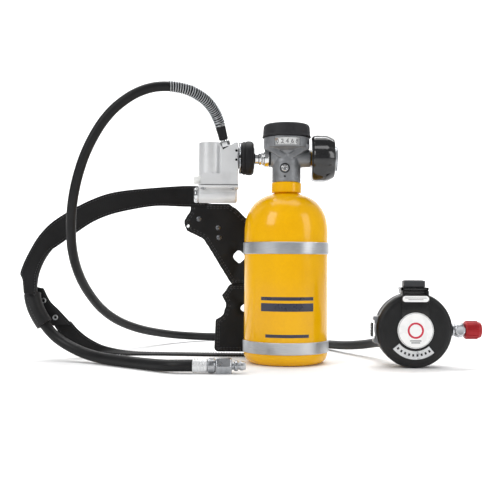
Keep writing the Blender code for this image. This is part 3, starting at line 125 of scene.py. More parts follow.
@dataclass(frozen=True)
class Finish:
    """One real material with the way its surface was made.

    Colours are sRGB hex. Lengths are in millimetres.
    """

    name: str
    slot: str
    colour: str
    shade: str
    roughness: float
    grain: Grain
    grain_mm: float
    relief_mm: float
    metallic: float = 0.0
    patch_mm: float = 25.0
    rough_spread: float = 0.06
    coat: float = 0.0
    coat_roughness: float = 0.05
    sheen: float = 0.0
    opacity: float = 1.0
    ior: float = 1.5
    worn: str = ""

    def material(self) -> bpy.types.Material:
        """Build the material once and give it back afterwards.

        Returns:
            The procedural material of this finish.
        """
        made = bpy.data.materials.get(self.name)
        if made:
            return made
        made = bpy.data.materials.new(self.name)
        made.use_nodes = True
        tree = made.node_tree
        shader = tree.nodes["Principled BSDF"]
        fixed = {"Metallic": self.metallic, "Coat Weight": self.coat,
                 "Coat Roughness": self.coat_roughness, "Sheen Weight": self.sheen,
                 "Alpha": self.opacity}
        if not self.metallic:
            fixed["IOR"] = self.ior
        for socket, value in fixed.items():
            shader.inputs[socket].default_value = value
        on_surface = self.grain in SURFACE_GRAINS
        coordinates = add_node(tree, "ShaderNodeTexCoord")
        place = coordinates.outputs["UV" if on_surface else "Object"]
        broad = add_node(tree, "ShaderNodeTexNoise", {
            "Vector": coordinates.outputs["Object"], "Scale": 1000 / self.patch_mm, "Detail": 4.0,
            "Roughness": 0.55})
        height, depth_tone = self.pattern(tree, place)
        tone = add_node(tree, "ShaderNodeMath", {0: broad.outputs["Fac"], 1: depth_tone},
                        operation="MULTIPLY")
        spread = add_node(tree, "ShaderNodeMapRange", {
            "Value": tone.outputs[0], "From Min": 0.18, "From Max": 0.55})
        colour = add_node(tree, "ShaderNodeMix", {
            "Factor": spread.outputs[0], 6: linear(self.shade), 7: linear(self.colour)},
            data_type="RGBA").outputs[2]
        if self.worn:
            colour = self.worn_edges(tree, colour, broad.outputs["Fac"])
        tree.links.new(colour, shader.inputs["Base Color"])
        rough = add_node(tree, "ShaderNodeMapRange", {
            "Value": broad.outputs["Fac"], "From Min": 0.3, "From Max": 0.7,
            "To Min": max(0.02, self.roughness - self.rough_spread),
            "To Max": min(1.0, self.roughness + self.rough_spread)})
        tree.links.new(rough.outputs[0], shader.inputs["Roughness"])
        bump = add_node(tree, "ShaderNodeBump", {
            "Height": height, "Distance": self.relief_mm * MM, "Strength": 1.0})
        tree.links.new(bump.outputs[0], shader.inputs["Normal"])
        return made

    def pattern(self, tree: bpy.types.NodeTree, place: Any) -> tuple[Any, Any]:
        """Make the surface pattern of this finish's grain.

        Args:
            tree: The material's node tree.
            place: The coordinates that the pattern follows.

        Returns:
            The socket of the relief, and the socket of the tone that its hollows have.
        """
        pitch = 1 / (self.grain_mm * MM)
        if self.grain in (Grain.WOVEN, Grain.COATED):
            across = add_node(tree, "ShaderNodeTexWave", {
                "Vector": place, "Scale": pitch / 20 * math.pi, "Distortion": 0.4, "Detail": 1.0,
                "Detail Scale": 2.0}, wave_type="BANDS", bands_direction="X")
            along = add_node(tree, "ShaderNodeTexWave", {
                "Vector": place, "Scale": pitch / 14 * math.pi, "Distortion": 0.4, "Detail": 1.0,
                "Detail Scale": 2.0}, wave_type="BANDS", bands_direction="Y")
            woven = add_node(tree, "ShaderNodeMath", {
                0: across.outputs["Fac"], 1: along.outputs["Fac"]}, operation="MULTIPLY")
            tone = add_node(tree, "ShaderNodeMapRange", {
                "Value": woven.outputs[0], "To Min": 0.75, "To Max": 1.1})
            return woven.outputs[0], tone.outputs[0]
        if self.grain is Grain.HIDE:
            cells = add_node(tree, "ShaderNodeTexVoronoi", {
                "Vector": place, "Scale": pitch, "Randomness": 0.9}, feature="SMOOTH_F1")
            tone = add_node(tree, "ShaderNodeMapRange", {
                "Value": cells.outputs["Distance"], "To Min": 1.15, "To Max": 0.6})
            pebbles = add_node(tree, "ShaderNodeMath", {0: 1.0, 1: cells.outputs["Distance"]},
                               operation="SUBTRACT")
            return pebbles.outputs[0], tone.outputs[0]
        stretch = {Grain.BRUSHED: (0.06, 0.06, 1.0), Grain.EXTRUDED: (0.05, 1.0, 1.0)}
        spread = add_node(tree, "ShaderNodeMapping", {
            "Vector": place, "Scale": stretch.get(self.grain, (1.0, 1.0, 1.0))})
        detail = {Grain.CAST: 5.0, Grain.BRUSHED: 3.0, Grain.POLISHED: 0.0, Grain.SPRAYED: 0.0}
        noise = add_node(tree, "ShaderNodeTexNoise", {
            "Vector": spread.outputs[0], "Scale": pitch, "Detail": detail.get(self.grain, 2.0),
            "Roughness": 0.6})
        depth = 0.25 if self.grain in (Grain.BRUSHED, Grain.CAST) else 0.12
        tone = add_node(tree, "ShaderNodeMapRange", {
            "Value": noise.outputs["Fac"], "From Min": 0.3, "From Max": 0.7,
            "To Min": 1.0 - depth, "To Max": 1.0 + depth})
        return noise.outputs["Fac"], tone.outputs[0]

    def worn_edges(self, tree: bpy.types.NodeTree, colour: Any, broken: Any) -> Any:
        """Rub the finish through to what lies under it along sharp edges.

        Args:
            tree: The material's node tree.
            colour: The socket of the unworn colour.
            broken: A noise socket that breaks the wear up.

        Returns:
            The socket of the colour with its edges worn.
        """
        shape = add_node(tree, "ShaderNodeNewGeometry")
        edge = add_node(tree, "ShaderNodeMapRange", {
            "Value": shape.outputs["Pointiness"], "From Min": 0.53, "From Max": 0.62})
        rubbed = add_node(tree, "ShaderNodeMath", {0: edge.outputs[0], 1: broken}, operation="MULTIPLY")
        return add_node(tree, "ShaderNodeMix", {
            "Factor": rubbed.outputs[0], 6: colour, 7: linear(self.worn)}, data_type="RGBA").outputs[2]


# Gloss enamel sprayed on aluminium: deep, wet-looking yellow with a faint orange peel.
ENAMEL = Finish("yellow_enamel", "yellow_paint", "#EFB300", "#E5A600", 0.22, Grain.SPRAYED, 2.2, 0.012,
                patch_mm=60, coat=0.2, coat_roughness=0.04, ior=1.3)
# Rolled stainless strip, brushed along its length: fine horizontal lines and soft grey streaks.
STRIP_STEEL = Finish("brushed_stainless_strip", "stainless", "#C4C6C9", "#9EA1A5", 0.36, Grain.BRUSHED,
                     0.5, 0.004, metallic=1.0, patch_mm=60)
# Turned stainless: even, slightly dull metal.
TURNED_STEEL = Finish("turned_stainless", "stainless", "#BDBFC2", "#94979B", 0.30, Grain.POLISHED,
                      3.0, 0.006, metallic=1.0, patch_mm=9)
# Black nickel on a pressed dome: dark metal with small bright highlights.
BLACK_NICKEL = Finish("black_nickel_plate", "gloss_black", "#6B6D70", "#4A4C4F", 0.28, Grain.POLISHED,
                      2.0, 0.004, metallic=1.0, patch_mm=6)
# Spring wire, drawn and oiled: dull grey with darker stretches.
SPRING_WIRE = Finish("drawn_spring_wire", "stainless", "#B4B6B9", "#8E9194", 0.36, Grain.POLISHED,
                     2.0, 0.004, metallic=1.0, patch_mm=7)
# Nickel-plated brass, polished: bright, with a yellow floor of reflections.
NICKEL = Finish("polished_nickel_plate", "chrome", "#DCDDDE", "#BFC0C2", 0.14, Grain.POLISHED,
                4.0, 0.004, metallic=1.0, patch_mm=10)
# Die-cast aluminium, bead blasted and clear anodised: pale, even and satin.
BLASTED_ALUMINIUM = Finish("blasted_aluminium", "satin_aluminium", "#D2D3D4", "#C2C3C4", 0.44,
                           Grain.BLASTED, 0.5, 0.006, metallic=0.3, patch_mm=22, worn="#E6E6E6")
# Turned aluminium, left bright: pale with a soft shine.
BRIGHT_ALUMINIUM = Finish("bright_turned_aluminium", "satin_aluminium", "#E2E3E4", "#CFD0D1", 0.30,
                          Grain.POLISHED, 3.0, 0.003, metallic=0.35, patch_mm=9)
# Sand-cast brass with a grey coat: mid grey with a fine cast skin.
GREY_CASTING = Finish("grey_coated_casting", "cast_grey", "#85878A", "#6C6E71", 0.44, Grain.CAST,
                      0.9, 0.030, metallic=0.35, patch_mm=12, worn="#A5A7A9")
# Extruded hose rubber: near black, satin, with faint lines along its length.
HOSE_RUBBER = Finish("extruded_hose_rubber", "black_rubber", "#19191A", "#111112", 0.42,
                     Grain.EXTRUDED, 0.5, 0.012, patch_mm=40, ior=1.3)
# Moulded rubber: dark and matt, with mould sheen.
MOULDED_RUBBER = Finish("moulded_rubber", "black_rubber", "#18181A", "#101011", 0.55, Grain.MOULDED,
                        0.8, 0.014, patch_mm=15, ior=1.3, worn="#272728")
# Weathered grey-black rubber of the gauge cap: chalky and soft.
CAP_RUBBER = Finish("chalky_grey_rubber", "grey_rubber", "#2E2E30", "#232325", 0.62, Grain.MOULDED,
                    1.0, 0.020, patch_mm=12, ior=1.3, worn="#414143")
# Compression-moulded phenolic: gloss black with broad soft highlights.
PHENOLIC = Finish("gloss_phenolic", "gloss_black", "#1A1A1B", "#101011", 0.16, Grain.MOULDED,
                  6.0, 0.010, patch_mm=25, coat=0.3)
# Moulded nylon with a fine texture: dark grey-black, satin.
NYLON = Finish("moulded_black_nylon", "regulator_plastic", "#1B1B1C", "#131314", 0.40, Grain.MOULDED,
               0.7, 0.010, patch_mm=20, ior=1.35, worn="#29292A")
# The same nylon where the mould was polished: smooth and darker.
SMOOTH_NYLON = Finish("polished_black_nylon", "regulator_plastic", "#121213", "#0C0C0D", 0.25,
                      Grain.MOULDED, 3.0, 0.004, patch_mm=20)
# Moulded grey nylon of the switch.
GREY_NYLON = Finish("moulded_grey_nylon", "grey_plastic", "#3E3F41", "#343537", 0.38, Grain.MOULDED,
                    0.7, 0.010, patch_mm=12, ior=1.35, worn="#57585A")
# Nylon webbing woven with ribs across it: matt black with a slight sheen on the ribs.
WEBBING = Finish("woven_nylon_webbing", "black_webbing", "#19191A", "#0B0B0C", 0.72, Grain.WOVEN,
                 1.3, 0.12, patch_mm=30, sheen=0.06, ior=1.3)
# Polyester sewing thread.
THREAD = Finish("polyester_thread", "black_webbing", "#2D2D2F", "#1F1F21", 0.60, Grain.POLISHED,
                0.5, 0.02, patch_mm=8, sheen=0.2)
# Nylon cloth with a urethane coat: black, creased, with the weave just showing.
COATED_CLOTH = Finish("coated_nylon_cloth", "black_fabric", "#171718", "#0A0A0B", 0.55, Grain.COATED,
                      0.9, 0.05, patch_mm=18, sheen=0.05, ior=1.3)
# Oiled leather: dull black with fine pebbles.
LEATHER = Finish("oiled_leather", "black_leather", "#1D1D1E", "#0F0F10", 0.50, Grain.HIDE,
                 1.1, 0.06, patch_mm=12, ior=1.35)
# White acetal, turned or moulded: slightly cloudy.
ACETAL = Finish("white_acetal", "white_plastic", "#F1F1EE", "#E4E4E0", 0.35, Grain.MOULDED,
                1.5, 0.006, patch_mm=8)
# Printed polyester label, satin white.
LABEL_WHITE = Finish("printed_label_white", "white_plastic", "#F3F3F2", "#EAEAE9", 0.30,
                     Grain.POLISHED, 5.0, 0.002, patch_mm=15)
# Printed polyester label, metallic silver.
LABEL_SILVER = Finish("printed_label_silver", "white_plastic", "#D6D7D8", "#BCBDBF", 0.32,
                      Grain.POLISHED, 3.0, 0.002, metallic=0.4, patch_mm=9)
# Printing inks, laid thin and flat.
INK_RED = Finish("red_ink", "white_plastic", "#C9203F", "#BC1B38", 0.35, Grain.POLISHED, 3.0, 0.001)
INK_GREY = Finish("grey_ink", "white_plastic", "#77787B", "#68696C", 0.40, Grain.POLISHED, 3.0, 0.001)
INK_BLACK = Finish("black_ink", "gloss_black", "#1B1C22", "#15161B", 0.40, Grain.POLISHED, 3.0, 0.001)
INK_NAVY = Finish("navy_screen_ink", "yellow_paint", "#23253A", "#1C1E30", 0.30, Grain.POLISHED,
                  3.0, 0.001, coat=0.3)
INK_ORANGE = Finish("orange_ink", "white_plastic", "#D98A1E", "#C97B14", 0.4, Grain.POLISHED, 3.0, 0.001)
# Cast acrylic window: clear and glossy.
ACRYLIC = Finish("clear_acrylic", "clear_plastic", "#FBFCFC", "#F4F6F6", 0.03, Grain.POLISHED,
                 6.0, 0.001, opacity=0.14, ior=1.49, rough_spread=0.01)
# Red anodised aluminium: metallic red, a little paler where it is handled.
ANODISED_RED = Finish("red_anodised_aluminium", "red_anodised", "#A20A15", "#860610", 0.45,
                      Grain.BRUSHED, 0.5, 0.008, metallic=0.2, patch_mm=8, ior=1.3)
# Turned brass, unplated: warm and a little tarnished.
BRASS = Finish("turned_brass", "brass", "#C9A45A", "#9A7A3C", 0.34, Grain.POLISHED, 2.0, 0.006,
               metallic=1.0, patch_mm=6)
# Painted shadow: flat black laid inside a bore or a slot, where no light comes out again.
SHADOW_BLACK = Finish("painted_shadow_black", "gloss_black", "#0C0C0C", "#070707", 0.8, Grain.MOULDED,
                      1.0, 0.002)
# White painted board of the studio floor.
BOARD = Finish("matt_white_board", "white_plastic", "#FAFAFA", "#F7F7F7", 0.85, Grain.MOULDED,
               3.0, 0.002, patch_mm=400, rough_spread=0.02)
SLOT_FINISHES = {finish.slot: finish for finish in (
    ENAMEL, TURNED_STEEL, NICKEL, BLASTED_ALUMINIUM, GREY_CASTING, MOULDED_RUBBER, CAP_RUBBER, PHENOLIC,
    NYLON, GREY_NYLON, WEBBING, COATED_CLOTH, LEATHER, ACETAL, ACRYLIC, ANODISED_RED, BRASS)}


# ---------------------------------------------------------------- shapes
def linked(name: str, data: Any) -> Any:
    """A new object of some data, linked in the scene."""
    item = bpy.data.objects.new(name, data)
    bpy.context.scene.collection.objects.link(item)
    return item


def mesh_of(name: str, bm: bmesh.types.BMesh) -> bpy.types.Mesh:
    """The mesh of a bmesh, which is freed, with all faces turned outwards."""
    bmesh.ops.recalc_face_normals(bm, faces=bm.faces)
    mesh = bpy.data.meshes.new(name)
    bm.to_mesh(mesh)
    bm.free()
    return mesh


def centre_of(node: str) -> Vector:
    """The middle of a CAD node's box."""
    low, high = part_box(node)
    return (low + high) / 2


def disc(radius: float, first: float, last: float) -> Profile:
    """The profile of a plain disc or rod between two places on its axis."""
    return [(0, first), (radius, first), (radius, last), (0, last)]


def finish_piece(name: str, bm: bmesh.types.BMesh, finish: Finish, body: str = ROOT,
                 sharp: float = 35.0) -> Any:
    """Turn a bmesh in world place into a finished piece of the object.

    Args:
        name: The piece's name.
        bm: Its shape, which is freed.
        finish: Its material.
        body: The body that it rides on.
        sharp: Edges turned by more degrees than this stay crisp.

    Returns:
        The new object.
    """
    return place_mesh(name, mesh_of(name, bm), finish, body, sharp)


def place_mesh(name: str, mesh: bpy.types.Mesh, finish: Finish, body: str = ROOT,
               sharp: float = 35.0) -> Any:
    """Put a finished mesh in the scene as a piece.

    Args:
        name: The piece's name.
        mesh: Its mesh, in world place.
        finish: Its material.
        body: The body that it rides on.
        sharp: Edges turned by more degrees than this stay crisp.

    Returns:
        The new object.
    """
    mesh.materials.clear()
    mesh.materials.append(finish.material())
    mesh.shade_smooth()
    mesh.set_sharp_from_angle(angle=math.radians(sharp))
    item = linked(name, mesh)
    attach(item, body)
    if name.startswith(STANDS_FOR):
        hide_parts(name.removeprefix(STANDS_FOR))
    LOG.info("%s: %d faces, %s, on %s", name, len(mesh.polygons), finish.name, body)
    return item


def frame_of(axis: Vector) -> tuple[Vector, Vector]:
    """Two directions square to an axis: the upright one first where there is one.

    Args:
        axis: A unit vector.

    Returns:
        The direction of angle zero and the direction of a quarter turn.
    """
    guide = ALONG_X if abs(axis.z) > 0.9 else ALONG_Z
    side = (guide - axis * guide.dot(axis)).normalized()
    return side, axis.cross(side)


def soften(profile: Profile, radius: float, steps: int = 3) -> Profile:
    """Round the corners of an outline.

    Args:
        profile: Points of an open outline.
        radius: How far from a corner its rounding starts.
        steps: Points on each rounding, less one.

    Returns:
        The outline with each inner corner rounded.
    """
    points = [Vector(p) for p in profile]
    made = [points[0]]
    for before, corner, after in zip(points, points[1:], points[2:]):
        back, ahead = before - corner, after - corner
        reach = min(radius, back.length * 0.45, ahead.length * 0.45)
        if back.length < 1e-7 or ahead.length < 1e-7 or back.angle(ahead) > math.radians(172):
            made.append(corner)
            continue
        first, last = corner + back.normalized() * reach, corner + ahead.normalized() * reach
        for step in range(steps + 1):
            share = step / steps
            made.append(first.lerp(corner, share).lerp(corner.lerp(last, share), share))
    made.append(points[-1])
    return [(p[0], p[1]) for p in made]


def turn_profile(bm: bmesh.types.BMesh, profile: Profile, origin: Sequence[float], axis: Vector,
                 segments: int = 96, shape: Callable[[float, float, float], float] | None = None,
                 phase: float = 0.0) -> None:
    """Turn a profile about an axis, with a UV map in metres.

    Args:
        bm: The bmesh that takes the shape.
        profile: Points of (radius, place along the axis); closed on the axis or on itself.
        origin: The axis's starting point.
        axis: Its unit direction.
        segments: Steps round the axis.
        shape: Radius, angle and place along to the real radius, for lobes and flats.
        phase: Turn of the first step, in radians.
    """
    side, quarter = frame_of(axis)
    start = Vector(origin)
    layer = bm.loops.layers.uv.verify()
    rings = []
    travelled = [0.0]
    for one, two in zip(profile, profile[1:]):
        travelled.append(travelled[-1] + math.dist(one, two))
    for radius, along in profile:
        if radius < 1e-7:
            rings.append([bm.verts.new(start + axis * along)])
            continue
        ring = []
        for step in range(segments):
            angle = 2 * math.pi * step / segments + phase
            reach = shape(radius, angle, along) if shape else radius
            arm = side * math.cos(angle) + quarter * math.sin(angle)
            ring.append(bm.verts.new(start + axis * along + arm * reach))
        rings.append(ring)
    pairs = list(zip(range(len(rings) - 1), range(1, len(rings))))
    if len(rings[0]) > 1 and len(rings[-1]) > 1:
        pairs.append((len(rings) - 1, 0))
    girth = 2 * math.pi * max(radius for radius, _ in profile)
    for low, high in pairs:
        if len(rings[low]) == 1 and len(rings[high]) == 1:
            continue
        for step in range(segments):
            turns = ((step, low), (step + 1, low), (step + 1, high), (step, high))
            corners = [(rings[ring][at % segments % len(rings[ring])], at, ring) for at, ring in turns]
            unique = {corner[0]: corner for corner in corners}
            face = bm.faces.new(list(unique))
            for loop in face.loops:
                _, at, ring = unique[loop.vert]
                loop[layer].uv = (travelled[ring], girth * at / segments)


def turned_piece(name: str, profile: Profile, origin: Sequence[float], axis: Vector, finish: Finish,
                 body: str = ROOT, segments: int = 96, rounding: float = 0.0,
                 shape: Callable[[float, float, float], float] | None = None,
                 phase: float = 0.0) -> Any:
    """Make one turned piece.

    Args:
        name: The piece's name.
        profile: Points of (radius, place along the axis).
        origin: The axis's starting point.
        axis: Its unit direction.
        finish: Its material.
        body: The body that it rides on.
        segments: Steps round the axis.
        rounding: Size of the rounding at the profile's corners.
        shape: Radius, angle and place along to the real radius.
        phase: Turn of the first step.

    Returns:
        The new object.
    """
    bm = bmesh.new()
    turn_profile(bm, soften(profile, rounding) if rounding else profile, origin, axis, segments,
                 shape, phase)
    return finish_piece(name, bm, finish, body)


def add_block(bm: bmesh.types.BMesh, low: Sequence[float], high: Sequence[float],
              rounding: float = 0.0, steps: int = 2) -> None:
    """Add a box between two corners, with rounded edges if asked.

    Args:
        bm: The bmesh that takes the box.
        low: Its lowest corner.
        high: Its highest corner.
        rounding: Radius of its edges.
        steps: Segments of each rounding.
    """
    low, high = Vector(low), Vector(high)
    place = Matrix.Translation((low + high) / 2) @ Matrix.Diagonal((*(high - low), 1))
    made = bmesh.ops.create_cube(bm, size=1, matrix=place)
    if rounding:
        edges = list({edge for vert in made["verts"] for edge in vert.link_edges})
        bmesh.ops.bevel(bm, geom=edges, offset=rounding, segments=steps, affect="EDGES", profile=0.5)


def add_prism(bm: bmesh.types.BMesh, outline: Sequence[tuple[float, float]], front: float,
              back: float) -> None:
    """Add an outline of (x, z) points, drawn out along Y.

    Args:
        bm: The bmesh that takes the shape.
        outline: Points in order round the shape.
        front: Y of its front face.
        back: Y of its back face.
    """
    near = [bm.verts.new((x, front, z)) for x, z in outline]
    far = [bm.verts.new((x, back, z)) for x, z in outline]
    bm.faces.new(near)
    bm.faces.new(list(reversed(far)))
    for at in range(len(outline)):
        after = (at + 1) % len(outline)
        bm.faces.new((near[at], far[at], far[after], near[after]))


def add_bar(bm: bmesh.types.BMesh, sections: Sequence[Sequence[Point]]) -> None:
    """Add a closed bar through sections of four corners each.

    Args:
        bm: The bmesh that takes the bar.
        sections: The corners of each section, in the same order.
    """
    rows = [[bm.verts.new(corner) for corner in section] for section in sections]
    for one, two in zip(rows, rows[1:]):
        for side in range(4):
            after = (side + 1) % 4
            bm.faces.new((one[side], one[after], two[after], two[side]))
    bm.faces.new(rows[0])
    bm.faces.new(list(reversed(rows[-1])))


def bent_bar(name: str, corners: Profile, first: float, last: float, steps: int, finish: Finish,
             body: str = ROOT, sharp: float = 50.0) -> Any:
    """Make a bar that bends round the upright axis, such as a print on a drum.

    Args:
        name: The piece's name.
        corners: The four corners of its section, as (radius, height).
        first: Angle of its first end, in radians.
        last: Angle of its last end.
        steps: Steps between them.
        finish: Its material.
        body: The body that it rides on.
        sharp: Edges turned by more degrees than this stay crisp.

    Returns:
        The new object.
    """
    bm = bmesh.new()
    angles = [first + (last - first) * step / steps for step in range(steps + 1)]
    add_bar(bm, [[(r * math.cos(a), r * math.sin(a), z) for r, z in corners] for a in angles])
    return finish_piece(name, bm, finish, body, sharp)


def smooth_point(points: Sequence[Vector], index: int, share: float) -> Vector:
    """A point on the Catmull-Rom curve between one point and the next.

    Args:
        points: The route.
        index: Which stretch of it.
        share: How far along the stretch, from 0 to 1.

    Returns:
        The point.
    """
    before, start = points[max(index - 1, 0)], points[index]
    end, after = points[index + 1], points[min(index + 2, len(points) - 1)]
    return 0.5 * (2 * start + (end - before) * share
                  + (2 * before - 5 * start + 4 * end - after) * share ** 2
                  + (3 * start - before - 3 * end + after) * share ** 3)


def smooth_curve(route: Sequence[Point], spacing: float) -> list[Vector]:
    """Points about one spacing apart on the smooth curve through a route.

    Args:
        route: The route's own points.
        spacing: Distance between the points given back.

    Returns:
        The curve's points, with the first and last of the route kept.
    """
    points = [Vector(p) for p in route]
    fine = [smooth_point(points, i, s / 24) for i in range(len(points) - 1) for s in range(24)]
    fine.append(points[-1])
    return even_points(fine, spacing)


def even_points(fine: Sequence[Vector], spacing: float) -> list[Vector]:
    """Read a fine line again at even steps.

    Args:
        fine: The line's points.
        spacing: About how far apart the new ones lie.

    Returns:
        The new points, ends kept.
    """
    travelled = [0.0]
    for one, two in zip(fine, fine[1:]):
        travelled.append(travelled[-1] + (two - one).length)
    count = max(2, round(travelled[-1] / spacing))
    picked, at = [], 0
    for step in range(count + 1):
        target = travelled[-1] * step / count
        while at < len(fine) - 2 and travelled[at + 1] < target:
            at += 1
        span = travelled[at + 1] - travelled[at]
        picked.append(fine[at].lerp(fine[at + 1], min((target - travelled[at]) / span, 1) if span else 0))
    return picked


def part_of_line(points: Sequence[Vector], first: float, last: float) -> list[Vector]:
    """The points of a line between two lengths along it.

    Args:
        points: The line.
        first: Length at which the part starts.
        last: Length at which it ends.

    Returns:
        The part's points.
    """
    kept, travelled = ([points[0]] if first == 0 else []), 0.0
    for one, two in zip(points, points[1:]):
        travelled += (two - one).length
        if first <= travelled <= last:
            kept.append(two)
    return kept


def carried_frames(points: Sequence[Vector]) -> list[tuple]:
    """Carry two square directions along a line without twisting them.

    Args:
        points: The line.

    Returns:
        One (point, side, up, along) for each point.
    """
    frames, side = [], None
    for index, point in enumerate(points):
        ahead = points[min(index + 1, len(points) - 1)]
        behind = points[max(index - 1, 0)]
        along = (ahead - behind).normalized()
        side = along.orthogonal() if side is None else side
        side = (side - along * side.dot(along)).normalized()
        frames.append((point, side, along.cross(side), along))
    return frames


def add_tube(bm: bmesh.types.BMesh, points: Sequence[Vector], outer: Callable[[float], float] | float,
             sides: int = 24, inner: float = 0.0) -> None:
    """Add a round tube along a line, with a UV map in metres.

    Args:
        bm: The bmesh that takes the tube.
        points: Its centre line.
        outer: Its radius, or the radius at a share of its length.
        sides: Faces round it.
        inner: Radius of its bore; zero closes both ends with caps.
    """
    layer = bm.loops.layers.uv.verify()
    frames = carried_frames(points)
    angles = [2 * math.pi * step / sides for step in range(sides)]
    rings, lengths, travelled = [], [], 0.0
    for index, (centre, side, up, _) in enumerate(frames):
        if index:
            travelled += (points[index] - points[index - 1]).length
        radius = outer(index / (len(points) - 1)) if callable(outer) else outer
        rings.append([bm.verts.new(centre + radius * (math.cos(a) * side + math.sin(a) * up))
                      for a in angles])
        lengths.append(travelled)
    if inner:
        for index in reversed(range(len(frames))):
            centre, side, up, _ = frames[index]
            rings.append([bm.verts.new(centre + inner * (math.cos(a) * side + math.sin(a) * up))
                          for a in angles])
            lengths.append(lengths[index])
    pairs = list(zip(range(len(rings) - 1), range(1, len(rings))))
    if inner:
        pairs.append((len(rings) - 1, 0))
    girth = 2 * math.pi * (outer(0.5) if callable(outer) else outer)
    for low, high in pairs:
        for step in range(sides):
            after = (step + 1) % sides
            face = bm.faces.new((rings[low][step], rings[low][after], rings[high][after],
                                 rings[high][step]))
            places = ((low, step), (low, step + 1), (high, step + 1), (high, step))
            for loop, (ring, at) in zip(face.loops, places):
                loop[layer].uv = (lengths[ring], girth * at / sides)
    if not inner:
        bm.faces.new(list(reversed(rings[0])))
        bm.faces.new(rings[-1])


def add_strap(bm: bmesh.types.BMesh, edges: Sequence[tuple[Point, Point]], thickness: float,
              steps: int = 8, across: int = 8, crown: float = 0.0) -> list[tuple[Vector, Vector, Vector]]:
    """Add a flat strap between two edge curves, with rounded edges and a UV map in metres.

    Args:
        bm: The bmesh that takes the strap.
        edges: Pairs of (outer, inner) edge points.
        thickness: The strap's thickness.
        steps: Steps along between two pairs.
        across: Steps across its width.
        crown: How far its middle stands out, as a share of the thickness.

    Returns:
        One (outer point, inner point, lift) for each step along.
    """
    layer = bm.loops.layers.uv.verify()
    outer = [Vector(pair[0]) for pair in edges]
    inner = [Vector(pair[1]) for pair in edges]
    shares = [(i, s / steps) for i in range(len(edges) - 1) for s in range(steps)]
    outer_line = [smooth_point(outer, i, s) for i, s in shares] + [outer[-1]]
    inner_line = [smooth_point(inner, i, s) for i, s in shares] + [inner[-1]]
    middles = [(a + b) / 2 for a, b in zip(outer_line, inner_line)]
    rings, stations, lengths = [], [], [0.0]
    section = []
    for step in range(across + 1):
        share = step / across
        edge = min(share, 1 - share) * across
        rise = 0.5 if edge >= 1 else 0.28
        section.append((share, rise + crown * math.sin(math.pi * share)))
    section += [(share, -rise) for share, rise in reversed(section)]
    for index, (one, two) in enumerate(zip(outer_line, inner_line)):
        ahead = middles[min(index + 1, len(middles) - 1)]
        behind = middles[max(index - 1, 0)]
        lift = (ahead - behind).cross(two - one).normalized()
        rings.append([bm.verts.new(one.lerp(two, share) + lift * thickness * rise)
                      for share, rise in section])
        stations.append((one, two, lift))
        if index:
            lengths.append(lengths[-1] + (middles[index] - middles[index - 1]).length)
    count = len(section)
    for row in range(len(rings) - 1):
        width = (outer_line[row] - inner_line[row]).length
        for step in range(count):
            after = (step + 1) % count
            face = bm.faces.new((rings[row][step], rings[row][after], rings[row + 1][after],
                                 rings[row + 1][step]))
            places = ((row, step), (row, after), (row + 1, after), (row + 1, step))
            for loop, (at, slot) in zip(face.loops, places):
                loop[layer].uv = (lengths[at], section[slot][0] * width)
    bm.faces.new(rings[0])
    bm.faces.new(list(reversed(rings[-1])))
    return stations


def settled_mesh(source: Any) -> bpy.types.Mesh:
    """The mesh of an object with its modifiers worked out, after which the object is gone.

    Args:
        source: An object with live modifiers, at the origin.

    Returns:
        The plain mesh.
    """
    bpy.context.view_layer.update()
    graph = bpy.context.evaluated_depsgraph_get()
    mesh = bpy.data.meshes.new_from_object(source.evaluated_get(graph))
    bpy.data.objects.remove(source, do_unlink=True)
    return mesh


def raw_object(name: str, bm: bmesh.types.BMesh) -> Any:
    """A bare object of a bmesh, for modifiers to work on.

    Args:
        name: Its name.
        bm: Its shape, which is freed.

    Returns:
        The object, linked in the scene.
    """
    return linked(name, mesh_of(name, bm))


def cast_mesh(name: str, bm: bmesh.types.BMesh, voxel: float, passes: int) -> Any:
    """Melt overlapping shapes into one skin with small rounded fillets, as a casting has.

    Args:
        name: The object's name.
        bm: The overlapping closed shapes.
        voxel: Size of the skin's mesh.
        passes: How often the skin is smoothed.

    Returns:
        An object with its modifiers still live, so that it can be bored before it is settled.
    """
    item = raw_object(name, bm)
    skin = item.modifiers.new("skin", "REMESH")
    skin.mode = "VOXEL"
    skin.voxel_size = voxel
    skin.use_smooth_shade = True
    fillets = item.modifiers.new("fillets", "SMOOTH")
    fillets.factor = 0.5
    fillets.iterations = passes
    return item


def bore(item: Any, cutters: bmesh.types.BMesh) -> None:
    """Cut shapes out of an object with a Boolean.

    Args:
        item: The object.
        cutters: Closed shapes that don't touch each other.
    """
    tool = raw_object(item.name + "_cutters", cutters)
    tool.hide_render = True
    step = item.modifiers.new("bores", "BOOLEAN")
    step.operation = "DIFFERENCE"
    step.object = tool
    step.solver = "EXACT"


def settle_bored(item: Any) -> bpy.types.Mesh:
    """Work an object's modifiers out and remove the cutter that it used.

    Args:
        item: The object.

    Returns:
        Its plain mesh.
    """
    tools = [step.object for step in item.modifiers if step.type == "BOOLEAN"]
    mesh = settled_mesh(item)
    for tool in tools:
        bpy.data.objects.remove(tool, do_unlink=True)
    return mesh


